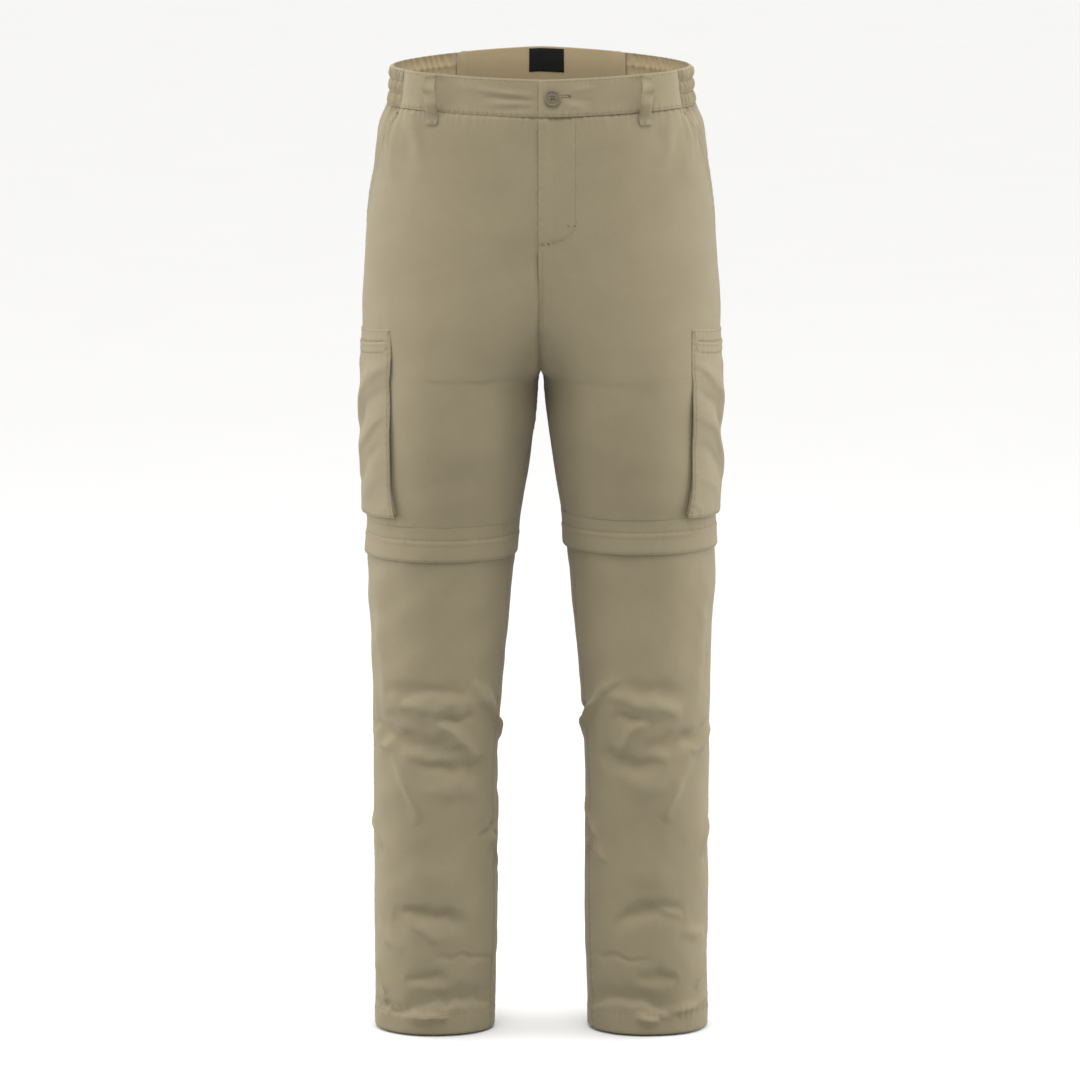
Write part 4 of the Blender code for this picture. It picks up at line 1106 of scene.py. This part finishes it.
def sewShorts():
    for leg, row in legs.items():
        sign, rise = row["sign"], row["kneeRise"]
        front, back = f"frontPanel_{leg}", f"backPanel_{leg}"
        z = np.linspace(-20, slash["end"] + 2, 90)
        for inset in (1.8, 7.2):
            sewRow(leg, front, sign, slashEdge(z) - inset / 1.3, z)
        bartack(leg, front, sign, float(slashEdge(-173.0)) - 3.6, -173, 6.5, 2.4)
        bartack(leg, front, sign, float(slashEdge(-24.0)) - 3.6, -23, 6.5, 2.4)
        z = np.linspace(slash["end"] - 4, cargo["top"] + 4, 60)
        sewRow(leg, back, sign, figure["sideSeam"] + 1.6, z)
        z = np.linspace(cargo["top"] - cargo["height"] - 2, thighs["hem"] + rise + 2, 8)
        sewRow(leg, back, sign, figure["sideSeam"] + 1.6, z)
        z = np.linspace(-34, figure["crotch"] + 8, 160)
        middle = 360 - angleAtX(2.2, z)
        sewRow(leg, back, sign, middle, z)
        ring = np.linspace(2, 358, 500)
        sewRow(leg, f"kneeBand_{leg}", sign, ring, knee["stitch"] + rise + 0 * ring)
        sewRow(leg, f"kneeBand_{leg}", sign, ring, knee["flapEnd"] + rise + 2.4 + 0 * ring)
    # the fly: a row down and round to the seam
    down = np.linspace(-19, fly["curveTop"], 60)
    turn = np.linspace(0, math.pi / 2, 30)[1:]
    xs = np.concatenate((fly["width"] + 0 * down, fly["width"] * np.cos(turn) + 1.2))
    heights = np.concatenate((down, fly["curveTop"] - fly["curveDrop"] * np.sin(turn)))
    sewRow("left", "frontPanel_left", 1, angleAtX(xs, heights), heights)
    x = 1.8
    heights = np.linspace(-168, figure["crotch"] + 6, 70)
    sewRow("left", "frontPanel_left", 1, angleAtX(x + 0 * heights, heights), heights)
    bartack("left", "frontPanel_left", 1, float(angleAtX(33.0, -141.0)), -141, 6, 2.6)
    bartack("left", "frontPanel_left", 1, float(angleAtX(4.5, -160.0)), -160, 6, 2.6)


def sewCargo():
    for leg, row in legs.items():
        name, sign = f"cargoPocket_{leg}", row["sign"]
        inset = 2.4 / figure["perDegree"]
        z = np.linspace(cargo["top"] - 1, cargo["top"] - cargo["height"] + 5, 120)
        for edge, way in ((cargo["front"], -1), (cargo["back"], 1)):
            sewRow(leg, name, sign, cargoEdge(edge, way)(z) - way * inset, z, outside=16)
        angles = np.linspace(cargo["front"] + 1, cargo["back"] - 1, 120)
        foot = np.linspace(cargo["front"] - 3, cargo["back"] + 3, 120)
        sewRow(leg, name, sign, foot, cargoBottom(foot) + 2.4, outside=16)
        first = cargo["top"] - cargo["welt"] + cargo["weltHeight"]
        low = angles[(angles > cargo["front"] + 12) & (angles < cargo["back"] - 12)]
        sewRow(leg, name, sign, low, cargoTop(low) - first, outside=16)
        sewRow(leg, name, sign, angles[8:-8], cargoTop(angles[8:-8]) - 2.2, outside=16)
        for edge in (cargo["front"] + 9, cargo["back"] - 9):
            bartack(leg, name, sign, edge, float(cargoTop(edge)) - 4, 5, 2.4)


def sewShins():
    for leg, row in legs.items():
        sign = row["sign"]
        for panel, start, end in (("front", 24, 184.5), ("back", 187.5, 380)):
            angles = np.linspace(start, end, 300)
            sewRow(leg, f"{panel}Shin_{leg}", sign, angles, shins["hemTop"] + 0 * angles)
        z = np.linspace(knee["flapEnd"] + row["kneeRise"] - 2, shins["hemTop"] + 3, 260)
        sewRow(leg, f"backShin_{leg}", sign, figure["sideSeam"] + 1.6, z)


def sewLoops():
    for name, sign, angle, _ in loopPlaces:
        top, bottom = float(bandTop(angle)) - 0.8, float(bandBottom(angle)) - loops["below"]
        bartack("waist", name, sign, angle, bottom + 3.0, 9.5, 2.0)
        half = (loops["width"] / 2 - loops["stitchInset"]) / 1.25
        z = np.linspace(top - 5, bottom + 5, 30)
        for turn in (angle - half, angle + half):
            sewRow("waist", name, sign, turn, z, outside=24)


# each loop's name, side, angle, and how far its top is turned
loopPlaces = (
    ("frontLoop_left", 1, loops["frontLeft"], loops["turn"]),
    ("frontLoop_right", -1, loops["frontRight"], loops["turn"]),
    ("backLoop_left", 1, loops["back"], 8), ("backLoop_right", -1, loops["back"], -6),
    ("backLoop_middle", 1, loops["middle"], 4),
)
button = {"x": 12, "z": -2, "lift": 4.0, "recess": 1.7, "hole": 1.9, "slit": (21.5, 30)}


def sewButton():
    # thread through the button's four holes, and the worked buttonhole beside it
    angle = float(angleAtX(button["x"], button["z"]))
    out = bodyNormal(angle, button["z"])
    across = np.cross(np.array((0, 0, 1.0)), out)
    across /= np.linalg.norm(across)
    up = np.cross(out, across)
    middle = bodyPoint(angle, button["z"]) + out * (button["lift"] + button["recess"])
    reach = button["hole"] * math.cos(math.pi / 4)
    for side in (-1, 1):
        for beside in (-0.28, 0.28):
            start = middle + across * (side * reach + beside) - up * (reach + 0.6) - out * 0.25
            end = middle + across * (side * reach + beside) + up * (reach + 0.6) - out * 0.25
            addStitch("button", start, end, out, size=1.0)
    first, last = button["slit"]
    for x in np.arange(first, last, 0.62):
        for way in (-1, 1):
            height = button["z"] + 2 + way * 1.25
            turn = float(angleAtX(x, height))
            sewRow("button", "frontBand_left", 1, np.array((turn, turn)), np.array((height - 0.9, height + 0.9)),
                   pitch=1.8, size=0.9)
    for height in np.arange(button["z"] + 0.4, button["z"] + 3.8, 0.6):
        half = 0.9 / figure["perDegree"]
        turn = float(angleAtX(last + 0.6, height))
        sewRow("button", "frontBand_left", 1, np.array((turn - half, turn + half)), np.array((height, height)),
               pitch=1.8, size=0.9)


def addNode(tree, kind, values=(), **settings):
    node = tree.nodes.new(kind)
    for name, value in settings.items():
        setattr(node, name, value)
    for name, value in dict(values).items():
        node.inputs[name].default_value = value
    return node


def wovenGroup():
    # plain woven cloth: gives colour, roughness and height from the cloth's own map
    group = bpy.data.node_groups.new("wovenCloth", "ShaderNodeTree")
    face = group.interface
    for name, kind, value in (
        ("Light", "NodeSocketColor", (0.4, 0.35, 0.24, 1)), ("Dark", "NodeSocketColor", (0.3, 0.26, 0.17, 1)),
        ("Threads", "NodeSocketFloat", 1500.0), ("Slub", "NodeSocketFloat", 0.5),
        ("Map", "NodeSocketVector", None), ("Place", "NodeSocketVector", None),
    ):
        socket = face.new_socket(name=name, in_out="INPUT", socket_type=kind)
        if value is not None:
            socket.default_value = value
    for name, kind in (("Colour", "NodeSocketColor"), ("Roughness", "NodeSocketFloat"), ("Height", "NodeSocketFloat")):
        face.new_socket(name=name, in_out="OUTPUT", socket_type=kind)
    given, result = group.nodes.new("NodeGroupInput"), group.nodes.new("NodeGroupOutput")
    link = group.links.new

    def calculate(operation, a, b=None):
        node = addNode(group, "ShaderNodeMath", operation=operation)
        for i, value in enumerate((a, b)):
            if hasattr(value, "links"):
                link(value, node.inputs[i])
            elif value is not None:
                node.inputs[i].default_value = value
        return node.outputs[0]

    apart = addNode(group, "ShaderNodeSeparateXYZ")
    link(given.outputs["Map"], apart.inputs[0])
    warp, weft = (
        calculate("SINE", calculate("MULTIPLY", calculate("MULTIPLY", apart.outputs[way], given.outputs["Threads"]), 6.2832))
        for way in ("X", "Y")
    )
    weave = calculate("MULTIPLY", warp, weft)
    # slubs: threads that thicken here and there, drawn out along warp and weft
    slubs = []
    for scale in ((2600, 130, 1), (130, 2600, 1)):
        stretch = addNode(group, "ShaderNodeMapping", {"Scale": scale})
        link(given.outputs["Map"], stretch.inputs["Vector"])
        noise = addNode(group, "ShaderNodeTexNoise", {"Scale": 1.0, "Detail": 3.0, "Roughness": 0.6},
                        noise_dimensions="2D")
        link(stretch.outputs[0], noise.inputs["Vector"])
        slubs.append(noise.outputs["Fac"])
    slub = calculate("MULTIPLY", calculate("ADD", slubs[0], slubs[1]), 0.5)
    grain = addNode(group, "ShaderNodeTexNoise", {"Scale": 700.0, "Detail": 4.0, "Roughness": 0.7})
    wash = addNode(group, "ShaderNodeTexNoise", {"Scale": 14.0, "Detail": 5.0, "Roughness": 0.62})
    for noise in (grain, wash):
        link(given.outputs["Place"], noise.inputs["Vector"])
    tone = calculate("ADD", calculate("MULTIPLY", calculate("SUBTRACT", slub, 0.5), given.outputs["Slub"]),
                 calculate("MULTIPLY", calculate("SUBTRACT", grain.outputs["Fac"], 0.5), 0.6))
    tone = calculate("ADD", tone, calculate("MULTIPLY", calculate("SUBTRACT", wash.outputs["Fac"], 0.5), 0.9))
    tone = calculate("ADD", calculate("ADD", tone, calculate("MULTIPLY", weave, 0.05)), 0.5)
    mix = addNode(group, "ShaderNodeMix", data_type="RGBA", clamp_factor=True)
    link(tone, mix.inputs["Factor"])
    for place, colour in ((6, "Dark"), (7, "Light")):
        link(given.outputs[colour], mix.inputs[place])
    link(mix.outputs[2], result.inputs["Colour"])
    link(calculate("ADD", calculate("MULTIPLY", slub, 0.12), 0.78), result.inputs["Roughness"])
    height = calculate("ADD", calculate("MULTIPLY", weave, 0.35), calculate("MULTIPLY", slub, 1.4))
    link(calculate("ADD", height, calculate("MULTIPLY", grain.outputs["Fac"], 0.8)), result.inputs["Height"])
    return group


# light and dark of each cloth, as linear colour; threads to the metre; slub; bump in metres; sheen
cloths = {
    "khaki": {"light": (0.372, 0.318, 0.204), "dark": (0.279, 0.236, 0.148), "threads": 1500, "slub": 0.55,
              "bump": 0.00016, "sheen": 0.18},
    "khakiPocket": {"light": (0.376, 0.320, 0.206), "dark": (0.281, 0.238, 0.150), "threads": 1500, "slub": 0.55,
                    "bump": 0.00016, "sheen": 0.18},
    "khakiBand": {"light": (0.381, 0.324, 0.209), "dark": (0.284, 0.240, 0.151), "threads": 1500, "slub": 0.5,
                  "bump": 0.00014, "sheen": 0.18},
    # the inside cloth: a lighter tone than the outside, and its colour raised further as painted light, standing in
    # for the light that falls into the waist from above
    "khakiInsidePaintedBright": {"light": (0.560, 0.450, 0.275), "dark": (0.450, 0.360, 0.215), "threads": 1500, "slub": 0.4,
                    "bump": 0.00012, "sheen": 0.12},
    "labelCloth": {"light": (0.013, 0.013, 0.013), "dark": (0.007, 0.007, 0.007), "threads": 2400, "slub": 0.8,
                   "bump": 0.00008, "sheen": 0.05},
    "zipTape": {"light": (0.26, 0.225, 0.15), "dark": (0.18, 0.155, 0.10), "threads": 1100, "slub": 0.3,
                "bump": 0.00020, "sheen": 0.05},
}


def makeCloths():
    group = wovenGroup()
    for name, look in cloths.items():
        material = bpy.data.materials.new(name)
        material.use_nodes = True
        tree = material.node_tree
        surface = tree.nodes["Principled BSDF"]
        surface.inputs["Sheen Weight"].default_value = look["sheen"]
        surface.inputs["Sheen Roughness"].default_value = 0.45
        surface.inputs["Specular IOR Level"].default_value = 0.25
        weave = addNode(tree, "ShaderNodeGroup", node_tree=group)
        weave.inputs["Light"].default_value = (*look["light"], 1)
        weave.inputs["Dark"].default_value = (*look["dark"], 1)
        weave.inputs["Threads"].default_value = look["threads"]
        weave.inputs["Slub"].default_value = look["slub"]
        place = addNode(tree, "ShaderNodeTexCoord")
        tree.links.new(place.outputs["UV"], weave.inputs["Map"])
        tree.links.new(place.outputs["Object"], weave.inputs["Place"])
        bump_ = addNode(tree, "ShaderNodeBump", {"Strength": 0.9, "Distance": look["bump"]})
        tree.links.new(weave.outputs["Height"], bump_.inputs["Height"])
        tree.links.new(weave.outputs["Colour"], surface.inputs["Base Color"])
        tree.links.new(weave.outputs["Roughness"], surface.inputs["Roughness"])
        tree.links.new(bump_.outputs["Normal"], surface.inputs["Normal"])
        materials[name] = material


def makeHard(name, light, dark, scale, rough, bumpDepth):
    # thread and plastic: two close tones over a fine noise
    material = bpy.data.materials.new(name)
    material.use_nodes = True
    tree = material.node_tree
    surface = tree.nodes["Principled BSDF"]
    surface.inputs["Specular IOR Level"].default_value = 0.4
    place = addNode(tree, "ShaderNodeTexCoord")
    noise = addNode(tree, "ShaderNodeTexNoise", {"Scale": scale, "Detail": 3.0, "Roughness": 0.55})
    ramp = addNode(tree, "ShaderNodeValToRGB")
    ramp.color_ramp.elements[0].position, ramp.color_ramp.elements[1].position = 0.3, 0.7
    ramp.color_ramp.elements[0].color, ramp.color_ramp.elements[1].color = (*dark, 1), (*light, 1)
    bump_ = addNode(tree, "ShaderNodeBump", {"Strength": 0.5, "Distance": bumpDepth})
    wear = addNode(tree, "ShaderNodeMapRange", {"To Min": rough - 0.08, "To Max": rough + 0.08})
    tree.links.new(place.outputs["Object"], noise.inputs["Vector"])
    tree.links.new(noise.outputs["Fac"], ramp.inputs["Fac"])
    tree.links.new(noise.outputs["Fac"], wear.inputs["Value"])
    tree.links.new(noise.outputs["Fac"], bump_.inputs["Height"])
    tree.links.new(ramp.outputs["Color"], surface.inputs["Base Color"])
    tree.links.new(wear.outputs["Result"], surface.inputs["Roughness"])
    tree.links.new(bump_.outputs["Normal"], surface.inputs["Normal"])
    materials[name] = material


makeCloths()
makeHard("thread", (0.235, 0.205, 0.135), (0.175, 0.15, 0.098), 900, 0.7, 0.00005)
makeHard("buttonPlastic", (0.215, 0.180, 0.115), (0.150, 0.125, 0.078), 220, 0.42, 0.00003)
print("materials made")

for leg, row in legs.items():
    sign, rise = row["sign"], row["kneeRise"]
    makeFront(leg, sign, rise)
    makeBack(leg, sign, rise)
    makeFacing(leg, sign)
    makeElastic(leg, sign)
    makeKneeFlap(leg, sign, rise)
    makeZip(leg, sign, rise)
    makeShin(leg, sign, rise)
    makeCargo(leg, sign)
    makeGusset(leg, sign)
print("legs made")

makeWaistbands()
makeLabel()
for name, sign, angle, turn in loopPlaces:
    where, leg = name.split("_")
    node = "belt_loop_back_middle" if leg == "middle" else f"belt_loop_{where[:-4]}_{leg}"
    makeLoop(name, node, sign, angle, turn)
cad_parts["button"].data.materials.clear()
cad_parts["button"].data.materials.append(materials["buttonPlastic"])
print("waist made")

sewWaist()
sewShorts()
sewCargo()
sewShins()
sewLoops()
sewButton()
finishThreads()
print("stitches sewn")

studio = {
    "floor": -1.0605, "floorSize": 120, "cameraPlace": (-0.0014, -6.8, 0.6), "tilt": 90 - 9.23, "lens": 206.2,
    "sideLight": {"place": (2.3, 0.1, -0.2), "wide": 1.6, "tall": 2.2, "power": 34},
    "topLight": {"place": (0, -1.5, 2.6), "tilt": 32, "size": 1.6, "power": 43},
    "world": {"front": 0.28, "sides": 0.75, "low": 0.55, "high": 1.0},
    "floorBounce": 0.45, "floorGrey": (0.94, 0.96),
}


def makeStudio():
    bpy.ops.mesh.primitive_plane_add(size=studio["floorSize"], location=(0, 0, studio["floor"]))
    floor = bpy.context.object
    floor.name = "paleFloor"
    material = bpy.data.materials.new("paleFloor")
    material.use_nodes = True
    tree = material.node_tree
    surface = tree.nodes["Principled BSDF"]
    surface.inputs["Roughness"].default_value = 0.9
    surface.inputs["Specular IOR Level"].default_value = 0.1
    place = addNode(tree, "ShaderNodeTexCoord")
    noise = addNode(tree, "ShaderNodeTexNoise", {"Scale": 3.0})
    ramp = addNode(tree, "ShaderNodeValToRGB")
    for element, grey in zip(ramp.color_ramp.elements, studio["floorGrey"]):
        element.color = (grey, grey, grey, 1)
    tree.links.new(place.outputs["Object"], noise.inputs["Vector"])
    tree.links.new(noise.outputs["Fac"], ramp.inputs["Fac"])
    # the floor is pale to the camera, and sends less light back up to the cloth
    path = addNode(tree, "ShaderNodeLightPath")
    dim = addNode(tree, "ShaderNodeMix", data_type="RGBA")
    tree.links.new(path.outputs["Is Diffuse Ray"], dim.inputs[0])
    tree.links.new(ramp.outputs["Color"], dim.inputs[6])
    bounce = studio["floorBounce"]
    dim.inputs[7].default_value = (bounce, bounce, bounce, 1)
    tree.links.new(dim.outputs[2], surface.inputs["Base Color"])
    floor.data.materials.append(material)

    world = bpy.data.worlds.new("softStudio")
    bpy.context.scene.world = world
    world.use_nodes = True
    tree = world.node_tree
    place = addNode(tree, "ShaderNodeTexCoord")
    apart = addNode(tree, "ShaderNodeSeparateXYZ")
    tree.links.new(place.outputs["Generated"], apart.inputs[0])
    # dimmer in front, so that the sides are the brighter, and brighter overhead
    look = studio["world"]
    front = addNode(tree, "ShaderNodeMapRange",
                    {"From Min": -0.9, "From Max": -0.1, "To Min": look["front"], "To Max": look["sides"]},
                    interpolation_type="SMOOTHSTEP")
    above = addNode(tree, "ShaderNodeMapRange",
                    {"From Min": -0.1, "From Max": 0.8, "To Min": look["low"], "To Max": look["high"]},
                    interpolation_type="SMOOTHSTEP")
    both = addNode(tree, "ShaderNodeMath", operation="ADD")
    tree.links.new(apart.outputs["Y"], front.inputs["Value"])
    tree.links.new(apart.outputs["Z"], above.inputs["Value"])
    tree.links.new(front.outputs["Result"], both.inputs[0])
    tree.links.new(above.outputs["Result"], both.inputs[1])
    half = addNode(tree, "ShaderNodeMath", {1: 0.62}, operation="MULTIPLY")
    tree.links.new(both.outputs[0], half.inputs[0])
    tree.links.new(half.outputs[0], tree.nodes["Background"].inputs["Strength"])
    tree.nodes["Background"].inputs["Color"].default_value = (1, 0.995, 0.985, 1)

    side = studio["sideLight"]
    x, y, z = side["place"]
    for way in (-1, 1):
        bpy.ops.object.light_add(type="AREA", location=(way * x, y, z), rotation=(0, way * math.pi / 2, 0))
        light = bpy.context.object
        light.name = "sideLight_" + ("left" if way > 0 else "right")
        light.data.shape = "RECTANGLE"
        light.data.size, light.data.size_y = side["tall"], side["wide"]
        light.data.energy = side["power"]
    bpy.ops.object.light_add(type="AREA", location=studio["topLight"]["place"],
                             rotation=(math.radians(studio["topLight"]["tilt"]), 0, 0))
    light = bpy.context.object
    light.name = "topLight"
    light.data.size, light.data.energy = studio["topLight"]["size"], studio["topLight"]["power"]

    bpy.ops.object.camera_add(location=studio["cameraPlace"], rotation=(math.radians(studio["tilt"]), 0, 0))
    camera = bpy.context.object
    camera.data.lens, camera.data.sensor_width = studio["lens"], 36
    camera.data.clip_end = 200
    bpy.context.scene.camera = camera
    bpy.context.scene.view_settings.view_transform = "Standard"


makeStudio()
print("studio lit")
